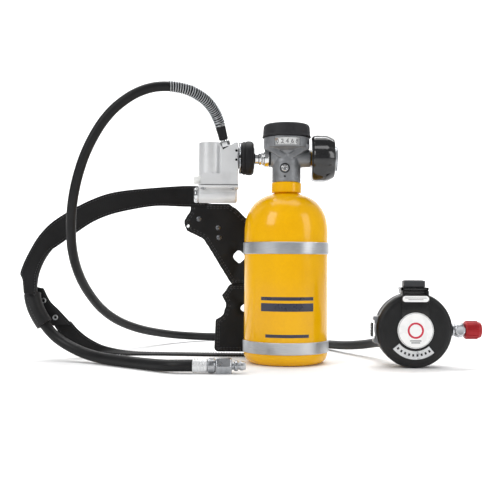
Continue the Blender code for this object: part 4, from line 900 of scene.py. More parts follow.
# ---------------------------------------------------------------- repeated detail, by Geometry Nodes
class PatternTree:
    """A Geometry Nodes tree with named inputs, which grows repeated detail on a bare mesh."""

    def __init__(self, name: str, sockets: dict[str, str]) -> None:
        """Start the tree with its input and output.

        Args:
            name: The tree's name.
            sockets: Name of each input to its socket type.
        """
        self.tree = bpy.data.node_groups.new(name, "GeometryNodeTree")
        face = self.tree.interface
        face.new_socket("Geometry", in_out="INPUT", socket_type="NodeSocketGeometry")
        for label, kind in sockets.items():
            face.new_socket(label, in_out="INPUT", socket_type=kind)
        face.new_socket("Geometry", in_out="OUTPUT", socket_type="NodeSocketGeometry")
        self.given = add_node(self.tree, "NodeGroupInput").outputs

    def end(self, geometry: Any) -> None:
        """Realize the grown shape, give it its material and end the tree with it.

        Args:
            geometry: The socket of the grown shape.
        """
        real = add_node(self.tree, "GeometryNodeRealizeInstances", {0: geometry})
        dressed = add_node(self.tree, "GeometryNodeSetMaterial", {
            "Geometry": real.outputs[0], "Material": self.given["Material"]})
        add_node(self.tree, "NodeGroupOutput", {0: dressed.outputs[0]})

    def grow(self, name: str, source: Any, values: dict[str, Any]) -> bpy.types.Mesh:
        """Grow the pattern on a bare object and take its plain mesh.

        Args:
            name: The mesh's name.
            source: The bare object, which is removed.
            values: Value of each named input.

        Returns:
            The grown mesh.
        """
        step = source.modifiers.new(name, "NODES")
        step.node_group = self.tree
        for item in self.tree.interface.items_tree:
            if item.in_out == "INPUT" and item.name in values:
                step[item.identifier] = values[item.name]
        return settled_mesh(source)


def line_object(lines: Iterable[Sequence[Vector]], name: str = "line") -> Any:
    """A bare object of plain edges along some lines.

    Args:
        lines: The lines' points.
        name: The object's name.

    Returns:
        The object.
    """
    bm = bmesh.new()
    for points in lines:
        verts = [bm.verts.new(p) for p in points]
        for one, two in zip(verts, verts[1:]):
            bm.edges.new((one, two))
    return raw_object(name, bm)


def coil_tree() -> PatternTree:
    """The tree that winds a wire round a line.

    Returns:
        A tree with Turns, Coil Radius, Wire Radius and Points.
    """
    made = PatternTree("wound_wire", {
        "Turns": "NodeSocketFloat", "Coil Radius": "NodeSocketFloat", "Wire Radius": "NodeSocketFloat",
        "Points": "NodeSocketInt", "Material": "NodeSocketMaterial"})
    tree, given = made.tree, made.given
    line = add_node(tree, "GeometryNodeMeshToCurve", {0: given["Geometry"]})
    even = add_node(tree, "GeometryNodeResampleCurve", {
        "Curve": line.outputs[0], "Count": given["Points"]})
    share = add_node(tree, "ShaderNodeMath", {
        0: add_node(tree, "GeometryNodeInputIndex").outputs[0], 1: given["Points"]}, operation="DIVIDE")
    turns = add_node(tree, "ShaderNodeMath", {0: given["Turns"], 1: 2 * math.pi}, operation="MULTIPLY")
    angle = add_node(tree, "ShaderNodeMath", {0: share.outputs[0], 1: turns.outputs[0]},
                     operation="MULTIPLY").outputs[0]
    normal = add_node(tree, "GeometryNodeInputNormal").outputs[0]
    tangent = add_node(tree, "GeometryNodeInputTangent").outputs[0]
    cross = add_node(tree, "ShaderNodeVectorMath", {0: tangent, 1: normal},
                     operation="CROSS_PRODUCT").outputs[0]
    arms = []
    for direction, wave in ((normal, "COSINE"), (cross, "SINE")):
        reach = add_node(tree, "ShaderNodeMath", {0: angle}, operation=wave)
        size = add_node(tree, "ShaderNodeMath", {0: reach.outputs[0], 1: given["Coil Radius"]},
                        operation="MULTIPLY")
        arms.append(add_node(tree, "ShaderNodeVectorMath", {0: direction, "Scale": size.outputs[0]},
                             operation="SCALE").outputs[0])
    offset = add_node(tree, "ShaderNodeVectorMath", {0: arms[0], 1: arms[1]}, operation="ADD")
    wound = add_node(tree, "GeometryNodeSetPosition", {
        "Geometry": even.outputs[0], "Offset": offset.outputs[0]})
    wire = add_node(tree, "GeometryNodeCurvePrimitiveCircle", {
        "Resolution": 8, "Radius": given["Wire Radius"]})
    solid = add_node(tree, "GeometryNodeCurveToMesh", {
        "Curve": wound.outputs[0], "Profile Curve": wire.outputs[0], "Fill Caps": True})
    made.end(solid.outputs[0])
    return made


@cache
def stitch_tree() -> PatternTree:
    """The tree that sews stitches along lines.

    Returns:
        A tree with Spacing, Length and Thread.
    """
    made = PatternTree("sewn_stitches", {
        "Spacing": "NodeSocketFloat", "Length": "NodeSocketFloat", "Thread": "NodeSocketFloat",
        "Material": "NodeSocketMaterial"})
    tree, given = made.tree, made.given
    line = add_node(tree, "GeometryNodeMeshToCurve", {0: given["Geometry"]})
    places = add_node(tree, "GeometryNodeCurveToPoints", {
        "Curve": line.outputs[0], "Length": given["Spacing"]}, mode="LENGTH")
    bead = add_node(tree, "GeometryNodeMeshUVSphere", {"Segments": 6, "Rings": 4, "Radius": 0.5})
    size = add_node(tree, "ShaderNodeCombineXYZ", {
        "X": given["Thread"], "Y": given["Thread"], "Z": given["Length"]})
    stitch = add_node(tree, "GeometryNodeTransform", {
        "Geometry": bead.outputs[0], "Scale": size.outputs[0]})
    sewn = add_node(tree, "GeometryNodeInstanceOnPoints", {
        "Points": places.outputs[0], "Instance": stitch.outputs[0],
        "Rotation": places.outputs["Rotation"]})
    made.end(sewn.outputs[0])
    return made


@cache
def ring_tree() -> PatternTree:
    """The tree that sets equal teeth round an upright axis.

    Returns:
        A tree with Count, Radius, Tooth (its size outwards, round and along) and Rise.
    """
    made = PatternTree("ring_of_teeth", {
        "Count": "NodeSocketInt", "Radius": "NodeSocketFloat", "Tooth": "NodeSocketVector",
        "Rise": "NodeSocketFloat", "Material": "NodeSocketMaterial"})
    tree, given = made.tree, made.given
    circle = add_node(tree, "GeometryNodeMeshCircle", {
        "Vertices": given["Count"], "Radius": given["Radius"]})
    tooth = add_node(tree, "GeometryNodeMeshCube", {"Size": given["Tooth"]})
    lift = add_node(tree, "ShaderNodeCombineXYZ", {"Z": given["Rise"]})
    raised = add_node(tree, "GeometryNodeTransform", {
        "Geometry": tooth.outputs[0], "Translation": lift.outputs[0]})
    place = add_node(tree, "GeometryNodeInputPosition").outputs[0]
    facing = add_node(tree, "FunctionNodeAlignRotationToVector", {"Vector": place}, axis="X",
                      pivot_axis="Z")
    teeth = add_node(tree, "GeometryNodeInstanceOnPoints", {
        "Points": circle.outputs[0], "Instance": raised.outputs[0], "Rotation": facing.outputs[0]})
    made.end(teeth.outputs[0])
    return made


@cache
def stud_tree() -> PatternTree:
    """The tree that sets an equal round stud on each point.

    Returns:
        A tree with Radius, Height, Sides and Turn (its rotation from upright).
    """
    made = PatternTree("studs", {
        "Radius": "NodeSocketFloat", "Height": "NodeSocketFloat", "Sides": "NodeSocketInt",
        "Turn": "NodeSocketVector", "Material": "NodeSocketMaterial"})
    tree, given = made.tree, made.given
    stud = add_node(tree, "GeometryNodeMeshCylinder", {
        "Vertices": given["Sides"], "Radius": given["Radius"], "Depth": given["Height"]})
    studs = add_node(tree, "GeometryNodeInstanceOnPoints", {
        "Points": given["Geometry"], "Instance": stud.outputs["Mesh"], "Rotation": given["Turn"]})
    made.end(studs.outputs[0])
    return made


def ring_piece(name: str, count: int, radius: float, tooth: Point, rise: float,
               origin: Sequence[float], axis: Vector, finish: Finish, body: str = ROOT) -> Any:
    """Make a ring of teeth round any axis.

    Args:
        name: The piece's name.
        count: Number of teeth.
        radius: Distance of their middles from the axis.
        tooth: Size of one outwards, round and along.
        rise: Place of their middles along the axis.
        origin: The axis's starting point.
        axis: Its unit direction.
        finish: The teeth's material.
        body: The body that they ride on.

    Returns:
        The new object.
    """
    bm = bmesh.new()
    bm.verts.new((0, 0, 0))
    mesh = ring_tree().grow(name, raw_object(name + "_seed", bm), {
        "Count": count, "Radius": radius, "Tooth": tooth, "Rise": rise, "Material": finish.material()})
    side, quarter = frame_of(axis)
    turn = Matrix((side, quarter, axis)).transposed().to_4x4()
    mesh.transform(Matrix.Translation(Vector(origin)) @ turn)
    return place_mesh(name, mesh, finish, body)


def sewn_piece(name: str, lines: Iterable[Sequence[Vector]], finish: Finish,
               spacing: float = 0.0034, length: float = 0.0026, thread: float = 0.0007,
               body: str = ROOT) -> Any:
    """Sew stitches along lines.

    Args:
        name: The piece's name.
        lines: The seams' points.
        finish: The thread's material.
        spacing: Distance from stitch to stitch.
        length: Length of a stitch.
        thread: Thickness of the thread.
        body: The body that it rides on.

    Returns:
        The new object.
    """
    mesh = stitch_tree().grow(name, line_object(lines), {
        "Spacing": spacing, "Length": length, "Thread": thread, "Material": finish.material()})
    return place_mesh(name, mesh, finish, body)


# ---------------------------------------------------------------- studio
@dataclass
class Studio:
    """White board, soft lights and the camera."""

    eye: Point = (-0.0430, -0.9900, 0.1210)
    pitch: float = math.radians(0.76)
    roll: float = math.radians(-0.35)
    lens: float = 59.5

    def place_camera(self) -> None:
        """Set the camera level with the object's middle, in front of it."""
        data = bpy.data.cameras.new("camera")
        data.lens = self.lens
        data.sensor_width = 36.0
        data.clip_start = 0.01
        camera = linked("camera", data)
        camera.location = self.eye
        camera.rotation_euler = (math.pi / 2 + self.pitch, self.roll, 0.0)
        bpy.context.scene.camera = camera

    def lay_board(self) -> None:
        """Lay a white board that curves up behind the object."""
        bm = bmesh.new()
        half, near, bend, rise = 4.0, -3.0, 2.2, 3.5
        side = [(near, 0.0)] + [(bend + 0.8 * math.sin(a), 0.8 - 0.8 * math.cos(a))
                                for a in (math.pi / 2 * s / 12 for s in range(13))] + [(bend + 0.8, rise)]
        rows = [(bm.verts.new((-half, y, z)), bm.verts.new((half, y, z))) for y, z in side]
        for one, two in zip(rows, rows[1:]):
            bm.faces.new((one[0], one[1], two[1], two[0]))
        mesh = bpy.data.meshes.new("studio_board")
        bm.to_mesh(mesh)
        bm.free()
        mesh.materials.append(BOARD.material())
        mesh.shade_smooth()
        board = linked("studio_board", mesh)

    def add_light(self, name: str, place: Point, size: tuple[float, float], power: float,
                  aim: Point = (-0.04, 0.0, 0.12)) -> None:
        """Add one soft light.

        Args:
            name: The light's name.
            place: Where it stands.
            size: Its width and height.
            power: Its power in watts.
            aim: The point that it faces.
        """
        data = bpy.data.lights.new(name, "AREA")
        data.shape = "RECTANGLE"
        data.size, data.size_y = size
        data.energy = power
        lamp = linked(name, data)
        lamp.location = place
        lamp.rotation_euler = (Vector(aim) - Vector(place)).to_track_quat("-Z", "Y").to_euler()

    def light(self) -> None:
        """Hang the soft lights and the pale surroundings."""
        world = bpy.data.worlds.new("pale_surroundings")
        bpy.context.scene.world = world
        world.use_nodes = True
        world.node_tree.nodes["Background"].inputs["Color"].default_value = linear("#F2F3F5")
        world.node_tree.nodes["Background"].inputs["Strength"].default_value = 0.30
        self.add_light("key_left", (-1.5, -1.4, 1.3), (0.9, 1.3), 22.0)
        self.add_light("fill_right", (1.7, -1.1, 0.9), (0.7, 1.4), 12.0)
        self.add_light("top", (0.0, 0.2, 1.9), (1.8, 1.2), 17.0)
        self.add_light("board_wash", (0.0, 1.2, 2.6), (4.0, 1.0), 110.0, (0.0, 2.6, 0.6))
        bpy.context.scene.view_settings.view_transform = "Standard"


# ---------------------------------------------------------------- hoses
class Hose:
    """What both hoses share: a diameter and a route, read as one smooth line."""

    diameter: float
    route: tuple[Point, ...]

    def line(self) -> list[Vector]:
        """The hose's centre line, its straight lead at each end kept."""
        middle = smooth_curve(self.route[1:-1], self.diameter * 0.45)
        return [Vector(self.route[0])] + middle + [Vector(self.route[-1])]


@dataclass
class BreathingHose(Hose):
    """Hose from the reducer to the regulator, with its swivel, crimp and spring guard."""

    diameter: float = 0.0115
    length: float = 1.06
    guard_length: float = 0.0880
    guard_turns: float = 31.0
    wire_radius: float = 0.00062
    lean: Vector = field(default_factory=lambda: Vector((-0.25, -0.18, 0.95)).normalized())
    route: tuple[Point, ...] = (
        (-.0794, -.0057, .2815), (-.0804, -.0064, .2853), (-.0840, -.0115, .2945), (-.0895, -.0190, .3025),
        (-.0970, -.0270, .3095), (-.1121, -.0370, .3170), (-.1322, -.0440, .3205), (-.1546, -.0480, .3189),
        (-.1755, -.0500, .3110), (-.1950, -.0500, .2974), (-.2090, -.0500, .2825), (-.2205, -.0490, .2655),
        (-.2315, -.0470, .2440), (-.2400, -.0440, .2210), (-.2463, -.0400, .1968), (-.2501, -.0340, .1742),
        (-.2522, -.0250, .1520), (-.2530, -.0120, .1310), (-.2515, .0090, .1085), (-.2460, .0380, .0845),
        (-.2345, .0740, .0595), (-.2180, .1120, .0405), (-.1950, .1550, .0262), (-.1670, .2020, .0160),
        (-.1367, .2400, .0095), (-.0990, .2620, .0062), (-.0550, .2680, .0060), (-.0120, .2540, .0060),
        (.0230, .2240, .0060), (.0480, .1850, .0062), (.0660, .1440, .0075), (.0840, .1030, .0105),
        (.1010, .0690, .0150), (.1135, .0420, .0200), (.1185, .0240, .0222), (.1185, .0201, .0222))

    def build(self) -> None:
        """Make the hose and what is on it."""
        line = self.line()
        bm = bmesh.new()
        add_tube(bm, line, self.diameter / 2, sides=28)
        hose = finish_piece("visual_breathing_hose", bm, HOSE_RUBBER)
        guard = self.build_guard(line)
        self.build_swivel()

    def build_guard(self, line: list[Vector]) -> Any:
        """Wind the spring guard round the hose's first stretch.

        Args:
            line: The hose's centre line.

        Returns:
            The coil.
        """
        held = part_of_line(line, 0, self.guard_length)
        turns_points = int(self.guard_turns * 18)
        mesh = coil_tree().grow("coil", line_object([held]), {
            "Turns": self.guard_turns, "Coil Radius": self.diameter / 2 + self.wire_radius + 0.0001,
            "Wire Radius": self.wire_radius, "Points": turns_points, "Material": SPRING_WIRE.material()})
        return place_mesh("visual_spring_guard", mesh, SPRING_WIRE, sharp=60)

    def build_swivel(self) -> None:
        """Make the swivel fitting in the reducer's notch and the rubber crimp sleeve on it."""
        top = Vector(self.route[0])
        crimp_end = top - self.lean * GAP
        crimp_start = crimp_end - self.lean * 0.0162
        base = crimp_start - self.lean * 0.0098
        collar = [(0, 0), (0.0046, 0), (0.0046, 0.0020), (0.0040, 0.0026), (0.0040, 0.0098), (0, 0.0098)]
        turned_piece("visual_hose_fitting", collar, base, self.lean, NICKEL,
                     segments=48, rounding=0.0004)
        # Painted shade: a dark rubber disc under the hexagon darkens the floor of the reducer's notch.
        notch_shade_disc = disc(0.0076, -0.0012, 0.0010)
        turned_piece("swivel_seal", notch_shade_disc, base, self.lean, MOULDED_RUBBER, segments=48, rounding=0.0004)
        hexagon = disc(0.0064, 0.0012, 0.0082)
        turned_piece("swivel_hexagon", hexagon, base, self.lean, NICKEL, segments=6, rounding=0.0005)
        sleeve = [(0, 0), (0.0052, 0), (0.0054, 0.0012), (0.0056, 0.0080), (0.0060, 0.0150),
                  (0.0058, 0.0162), (0, 0.0162)]
        turned_piece("visual_crimp_sleeve", sleeve, crimp_start, self.lean, MOULDED_RUBBER, segments=48,
                     rounding=0.0005)


@dataclass
class AirlineHose(Hose):
    """Hose from the reducer's inlet to its quick-disconnect plug."""

    diameter: float = 0.0130
    length: float = 0.55
    inlet_radius: float = 0.0050
    crimp_radius: float = 0.0075
    route: tuple[Point, ...] = (
        (-.1038, .0755, .2015), (-.1078, .0755, .2015), (-.1290, .0735, .2024), (-.1636, .0650, .2004),
        (-.2010, .0580, .1956), (-.2253, .0530, .1895), (-.2482, .0480, .1786), (-.2690, .0435, .1632),
        (-.2866, .0395, .1465), (-.2995, .0340, .1290), (-.3067, .0275, .1110), (-.3088, .0205, .0940),
        (-.3072, .0150, .0780), (-.3025, .0118, .0630), (-.2950, .0110, .0490), (-.2855, .0098, .0365),
        (-.2750, .0070, .0270), (-.2630, .0025, .0200), (-.2507, -.0035, .0148), (-.2380, -.0110, .0108),
        (-.2250, -.0195, .0082), (-.2113, -.0300, .0070), (-.1960, -.0435, .0067), (-.1604, -.0730, .0067),
        (-.1362, -.0930, .0074), (-.1225, -.1005, .0082), (-.1083, -.1020, .0085), (-.1043, -.1020, .0085))

    def build(self) -> None:
        """Make the inlet, the hose and the plug."""
        line = self.line()
        bm = bmesh.new()
        add_tube(bm, line, self.diameter / 2, sides=30)
        hose = finish_piece("visual_airline_hose", bm, HOSE_RUBBER)
        plug = self.build_plug()
        self.build_inlet()

    def build_inlet(self) -> None:
        """Make the nickel-plated elbow behind the reducer's barrel."""
        low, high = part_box("airline_inlet")
        x, z = high.x - self.inlet_radius, (low.z + high.z) / 2
        bend = self.route[0][1]
        bm = bmesh.new()
        reach = [Vector((x, low.y, z)), Vector((x, bend - 0.012, z))]
        curve = [Vector((x - 0.012 * (1 - math.cos(a)), bend - 0.012 * (1 - math.sin(a)), z))
                 for a in (math.pi / 2 * s / 10 for s in range(1, 11))]
        elbow = even_points(reach + curve + [Vector((low.x + 0.010, bend, z))], 0.0015)
        add_tube(bm, elbow, self.inlet_radius, sides=28)
        crimp = [(0, 0), (self.crimp_radius - 0.001, 0), (self.crimp_radius, 0.0012),
                 (self.crimp_radius, 0.0035), (self.crimp_radius - 0.0006, 0.0040),
                 (self.crimp_radius, 0.0045), (self.crimp_radius, 0.0100), (0, 0.0105)]
        turn_profile(bm, soften(crimp, 0.0004), (low.x + 0.0105, bend, z), -ALONG_X, 48)
        union = disc(0.0066, 0, 0.0070)
        turn_profile(bm, soften(union, 0.0005), (x, low.y + 0.0002, z), ALONG_Y, 6)
        finish_piece("visual_airline_inlet", bm, NICKEL)

    def build_plug(self) -> list[Any]:
        """Make the crimped ferrule, the knurled collar, the hexagon and the grooved nipple.

        Returns:
            The plug's pieces.
        """
        pieces = []
        low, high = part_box("hose_ferrule")
        place = (low.x, (low.y + high.y) / 2, (low.z + high.z) / 2)
        radius, length = (high.z - low.z) / 2, high.x - low.x
        ferrule = [(0, 0), (radius - 0.0006, 0), (radius, 0.0006)]
        for step in range(4):
            start = 0.0022 + 0.0030 * step
            ferrule += [(radius, start), (radius - 0.0005, start + 0.0003),
                        (radius - 0.0005, start + 0.0008), (radius, start + 0.0011)]
        ferrule += [(radius, length - 0.0006), (radius - 0.0008, length), (0, length)]
        pieces.append(turned_piece("visual_hose_ferrule", ferrule, place, ALONG_X, BRIGHT_ALUMINIUM,
                                   segments=64, rounding=0.0002))
        low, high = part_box("plug_collar")
        place = (low.x, place[1], place[2])
        radius, length = (high.z - low.z) / 2, high.x - low.x
        collar = [(0, 0), (radius - 0.0012, 0), (radius - 0.0004, 0.0008),
                  (radius - 0.0004, length - 0.0014),
                  (radius - 0.0014, length), (0, length)]
        pieces.append(turned_piece("visual_plug_collar", collar, place, ALONG_X, TURNED_STEEL,
                                   segments=64, rounding=0.0003))
        pieces.append(ring_piece("collar_knurl", 44, radius - 0.0004, (0.0007, 0.0006, length * 0.62),
                                 length * 0.5, place, ALONG_X, TURNED_STEEL))
        low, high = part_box("plug_nipple")
        place = (low.x, place[1], place[2])
        corner = 0.0160 / 2 / math.cos(math.pi / 6)
        hexagon = [(0.0030, 0), (corner - 0.0008, 0), (corner, 0.0010), (corner, 0.0155),
                   (corner - 0.0012, 0.0172), (0.0030, 0.0172)]
        bm = bmesh.new()
        turn_profile(bm, soften(hexagon, 0.0003), place, ALONG_X, 6, phase=math.pi / 6)
        tip = [(0.0025, 0.0160), (0.0042, 0.0160), (0.0042, 0.0195), (0.0056, 0.0204), (0.0056, 0.0234),
               (0.0042, 0.0244), (0.0042, 0.0258), (0.0052, 0.0266), (0.0050, 0.0290), (0.0040, 0.0322),
               (0.0030, 0.0322), (0.0025, 0.0300)]
        turn_profile(bm, soften(tip, 0.0003), place, ALONG_X, 56)
        pieces.append(finish_piece("visual_plug_nipple", bm, TURNED_STEEL, sharp=25))
        # Painted shadow: a black disc deep in the nipple's bore.
        dark = disc(0.00247, 0.0298, 0.0302)
        pieces.append(turned_piece("plug_bore", dark, place, ALONG_X, SHADOW_BLACK, segments=32))
        return pieces


# ---------------------------------------------------------------- cylinder group
@dataclass
class AirCylinder:
    """Yellow aluminium cylinder with its bands, cradle plate and band bolts."""

    side_top: float = 0.1520
    dome_rise: float = 0.0505
    dome_power: float = 2.45
    foot_round: float = 0.0120
    neck_radius: float = 0.0179
    waist_radius: float = 0.0142
    collar_height: float = 0.0128
    print_lift: float = 0.00012

    def radius(self) -> float:
        """The cylinder's outer radius."""
        low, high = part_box("air_cylinder")
        return (high.x - low.x) / 2

    def outline(self) -> Profile:
        """The outline from the middle of the foot up to the bored neck."""
        _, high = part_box("air_cylinder")
        radius = self.radius()
        points: Profile = [(0.0, 0.0025), (radius * 0.55, 0.0016), (radius * 0.66, 0.0)]
        for step in range(13):
            angle = math.pi / 2 * step / 12
            points.append((radius - self.foot_round * (1 - math.sin(angle)),
                           self.foot_round * (1 - math.cos(angle))))
        for step in range(1, 33):
            share = math.sin(math.pi / 2 * step / 32)
            across = radius * (1 - share ** self.dome_power) ** (1 / self.dome_power)
            if across < self.waist_radius + 0.0022:
                break
            points.append((across, self.side_top + self.dome_rise * share))
        collar = high.z - self.collar_height
        points += [(self.waist_radius + 0.0005, collar - 0.0022), (self.waist_radius, collar - 0.0008),
                   (self.waist_radius + 0.0006, collar), (self.neck_radius - 0.0006, collar + 0.0004),
                   (self.neck_radius, collar + 0.0012), (self.neck_radius, high.z - 0.0012),
                   (self.neck_radius - 0.0010, high.z), (0.0125, high.z), (0.0125, high.z - 0.010),
                   (0.0, high.z - 0.010)]
        return points

    def build(self) -> None:
        """Make the shell, the bands, the plate behind them and their bolts."""
        turned_piece("visual_air_cylinder", self.outline(), (0, 0, 0), ALONG_Z, ENAMEL, segments=160)
        for node in ("lower_band", "upper_band"):
            self.build_band(node)
        self.build_cradle()
        self.build_print()

    def build_band(self, node: str) -> None:
        """Make one steel band with rolled edges.

        Args:
            node: The band's CAD node.
        """
        low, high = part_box(node)
        outer, inner = (high.x - low.x) / 2, self.radius() + 0.0002
        edge = 0.0005
        strip = [(inner, low.z), (outer - edge, low.z), (outer, low.z + edge), (outer, high.z - edge),
                 (outer - edge, high.z), (inner, high.z)]
        turned_piece("visual_" + node, strip, (0, 0, 0), ALONG_Z, STRIP_STEEL, segments=160)
        bm = bmesh.new()
        middle = (low.z + high.z) / 2
        add_block(bm, (-0.0095, outer - 0.0003, middle - 0.0058), (0.0095, outer + 0.0002, middle + 0.0058),
                  0.0002)
        finish_piece(node + "_lap", bm, STRIP_STEEL)

    def build_cradle(self) -> None:
        """Make the pressed plate with its two bolts."""
        low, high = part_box("cradle_plate")
        bm = bmesh.new()
        add_block(bm, low, high, 0.0010, 3)
        for x in (low.x + 0.006, high.x - 0.006):
            add_block(bm, (x - 0.0016, high.y - 0.0004, low.z + 0.020),
                      (x + 0.0016, high.y + 0.0009, high.z - 0.020), 0.0008, 3)
        finish_piece("visual_cradle_plate", bm, GREY_CASTING)
        for node in ("lower_band_bolt", "upper_band_bolt"):
            low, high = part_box(node)
            head = [(0, 0), (0.0040, 0), (0.0040, 0.0012), (0.0034, 0.0020), (0.0018, 0.0020),
                    (0.0018, 0.0008), (0, 0.0008)]
            place = ((low.x + high.x) / 2, high.y - 0.0020, (low.z + high.z) / 2)
            turned_piece("visual_" + node, head, place, ALONG_Y, TURNED_STEEL,
                         segments=40, rounding=0.0003)

    def build_print(self) -> None:
        """Lay three plain ink stripes on the front, where such a cylinder is printed."""
        radius = self.radius() + self.print_lift
        for name, low, high, reach in (("upper_stripe", 0.0760, 0.0800, 37.0),
                                       ("middle_stripe", 0.0635, 0.0728, 37.0),
                                       ("lower_stripe", 0.0335, 0.0372, 30.0)):
            corners = [(radius, low), (radius, high), (radius - 0.0006, high), (radius - 0.0006, low)]
            turn = math.radians(reach)
            bent_bar("ink_" + name, corners, -math.pi / 2 - turn, -math.pi / 2 + turn, 40, INK_NAVY)


# ---------------------------------------------------------------- belt, hose retainer and hip pad
@dataclass
class WaistBelt:
    """Webbing belt with the leather hose retainer that hangs on it."""

    belt_thick: float = 0.0022
    tab_thick: float = 0.0030
    sleeve_wall: float = 0.0018
    sleeve_slack: float = 0.0018
    retainer_start: float = 0.2750
    retainer_length: float = 0.0460
    eyelet_bore: float = 0.0017
    upper: tuple = (
        ((-.1020, .0558, .2150), (-.1020, .0558, .1895)), ((-.1250, .0556, .2156), (-.1250, .0556, .1891)),
        ((-.1620, .0480, .2124), (-.1620, .0480, .1893)), ((-.1988, .0430, .2083), (-.1963, .0430, .1833)),
        ((-.2229, .0380, .2029), (-.2192, .0380, .1768)), ((-.2467, .0330, .1926), (-.2393, .0330, .1673)),
        ((-.2693, .0285, .1794), (-.2594, .0285, .1530)), ((-.2880, .0245, .1657), (-.2757, .0245, .1406)),
        ((-.3017, .0190, .1491), (-.2887, .0190, .1302)), ((-.3120, .0130, .1285), (-.2957, .0130, .1186)),
        ((-.3168, .0080, .1150), (-.2985, .0080, .1090)), ((-.3192, .0045, .1040), (-.2994, .0045, .1020)),
        ((-.3158, .0020, .0965), (-.2990, .0020, .0955)), ((-.3136, .0000, .0806), (-.2996, .0000, .0792)))
    tab: tuple = (
        ((-.3075, .0280, .0880), (-.2968, .0280, .0855)), ((-.3045, .0280, .0720), (-.2886, .0280, .0701)),
        ((-.2975, .0280, .0585), (-.2770, .0280, .0585)), ((-.2882, .0274, .0402), (-.2612, .0274, .0418)))
    lower: tuple = (
        ((-.2863, .0296, .0440), (-.2631, .0296, .0452)), ((-.2757, .0305, .0285), (-.2545, .0310, .0350)),
        ((-.2622, .0365, .0148), (-.2430, .0390, .0240)), ((-.2436, .0450, .0066), (-.2290, .0540, .0140)),
        ((-.2200, .0520, .0035), (-.2110, .0680, .0070)), ((-.1950, .0580, .0017), (-.1900, .0790, .0027)),
        ((-.1620, .0600, .0016), (-.1600, .0830, .0016)), ((-.1200, .0570, .0016), (-.1200, .0800, .0016)),
        ((-.0700, .0540, .0016), (-.0700, .0770, .0016)), ((.0200, .0540, .0016), (.0200, .0770, .0016)))

    def build(self, hose: AirlineHose) -> None:
        """Make both runs, the tab, the sleeve round the hose and their seams.

        Args:
            hose: The airline hose that the sleeve holds.
        """
        seams = []
        for name, edges in (("belt_upper", self.upper), ("belt_lower", self.lower)):
            bm = bmesh.new()
            stations = add_strap(bm, edges, self.belt_thick, steps=8, across=10)
            finish_piece("visual_" + name, bm, WEBBING, sharp=60)
            seams += self.seams(stations, self.belt_thick, (0.10, 0.90))
        sewn_piece("belt_seams", seams, THREAD)
        bm = bmesh.new()
        stations = add_strap(bm, self.tab, self.tab_thick, steps=10, across=10, crown=0.12)
        finish_piece("visual_retainer_tab", bm, LEATHER, sharp=60)
        sewn_piece("tab_seams", self.seams(stations, self.tab_thick, (0.14, 0.86)), THREAD,
                   spacing=0.0030, length=0.0021)
        self.build_sleeve(hose)
        for node in ("eyelet_upper", "eyelet_lower"):
            self.build_eyelet(node)

    def seams(self, stations: Sequence[tuple[Vector, Vector, Vector]], thickness: float,
              shares: Sequence[float]) -> list[list[Vector]]:
        """Lines of a strap's seams, on both its faces.

        Args:
            stations: What add_strap gave back.
            thickness: The strap's thickness.
            shares: Where the seams run, as shares of its width.

        Returns:
            One line of points for each seam.
        """
        return [[one.lerp(two, share) + lift * face * thickness * 0.5 for one, two, lift in stations]
                for share in shares for face in (1, -1)]

    def build_sleeve(self, hose: AirlineHose) -> None:
        """Make the leather sleeve round the airline hose, sewn along its side.

        Args:
            hose: The hose inside it.
        """
        held = part_of_line(hose.line(), self.retainer_start, self.retainer_start + self.retainer_length)
        inner = hose.diameter / 2 + self.sleeve_slack
        outer = inner + self.sleeve_wall
        bm = bmesh.new()
        add_tube(bm, held, outer, sides=36, inner=inner)
        ends = [vert for vert in bm.verts if (vert.co - held[-1]).length < outer * 1.05]
        for vert in ends:
            vert.co += (held[-2] - held[-1]).normalized() * 0.0006
        bmesh.ops.bevel(bm, geom=[edge for edge in bm.edges if edge.is_manifold
                                  and edge.calc_face_angle(0) > math.radians(50)],
                        offset=0.0005, segments=2, affect="EDGES")
        finish_piece("visual_hose_retainer", bm, LEATHER, sharp=50)
        frames = carried_frames(held[1:-1])
        toward = Vector((0.35, -0.9, 0.2)).normalized()
        rows = []
        for turn in (-0.22, 0.22):
            row = []
            for point, _, _, along in frames:
                side = (toward - along * toward.dot(along)).normalized()
                around = side * math.cos(turn + 1.0) + along.cross(side) * math.sin(turn + 1.0)
                row.append(point + around * (outer + 0.0001))
            rows.append(row)
        sewn_piece("sleeve_seams", rows, THREAD, spacing=0.0032, length=0.0023)

    def build_eyelet(self, node: str) -> None:
        """Make one rolled eyelet and the painted shadow in the hole through it.

        Args:
            node: The eyelet's CAD node.
        """
        low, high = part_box(node)
        place = ((low.x + high.x) / 2, high.y, (low.z + high.z) / 2)
        radius, depth = (high.z - low.z) / 2, high.y - low.y
        ring = [(self.eyelet_bore, 0), (self.eyelet_bore + 0.0005, 0),
                (self.eyelet_bore + 0.0005, depth * 0.4),
                (radius, depth * 0.5), (radius * 0.93, depth * 0.85), (radius * 0.75, depth),
                (self.eyelet_bore + 0.0003, depth * 0.9), (self.eyelet_bore, depth * 0.6)]
        turned_piece("visual_" + node, ring, place, -ALONG_Y, TURNED_STEEL,
                     segments=40, rounding=0.0002)
        # Painted shadow: a black disc fills the front half of the eyelet's bore.
        hole = disc(self.eyelet_bore, 0, depth * 0.5)
        turned_piece(node + "_hole", hole, place, -ALONG_Y, SHADOW_BLACK, segments=24)


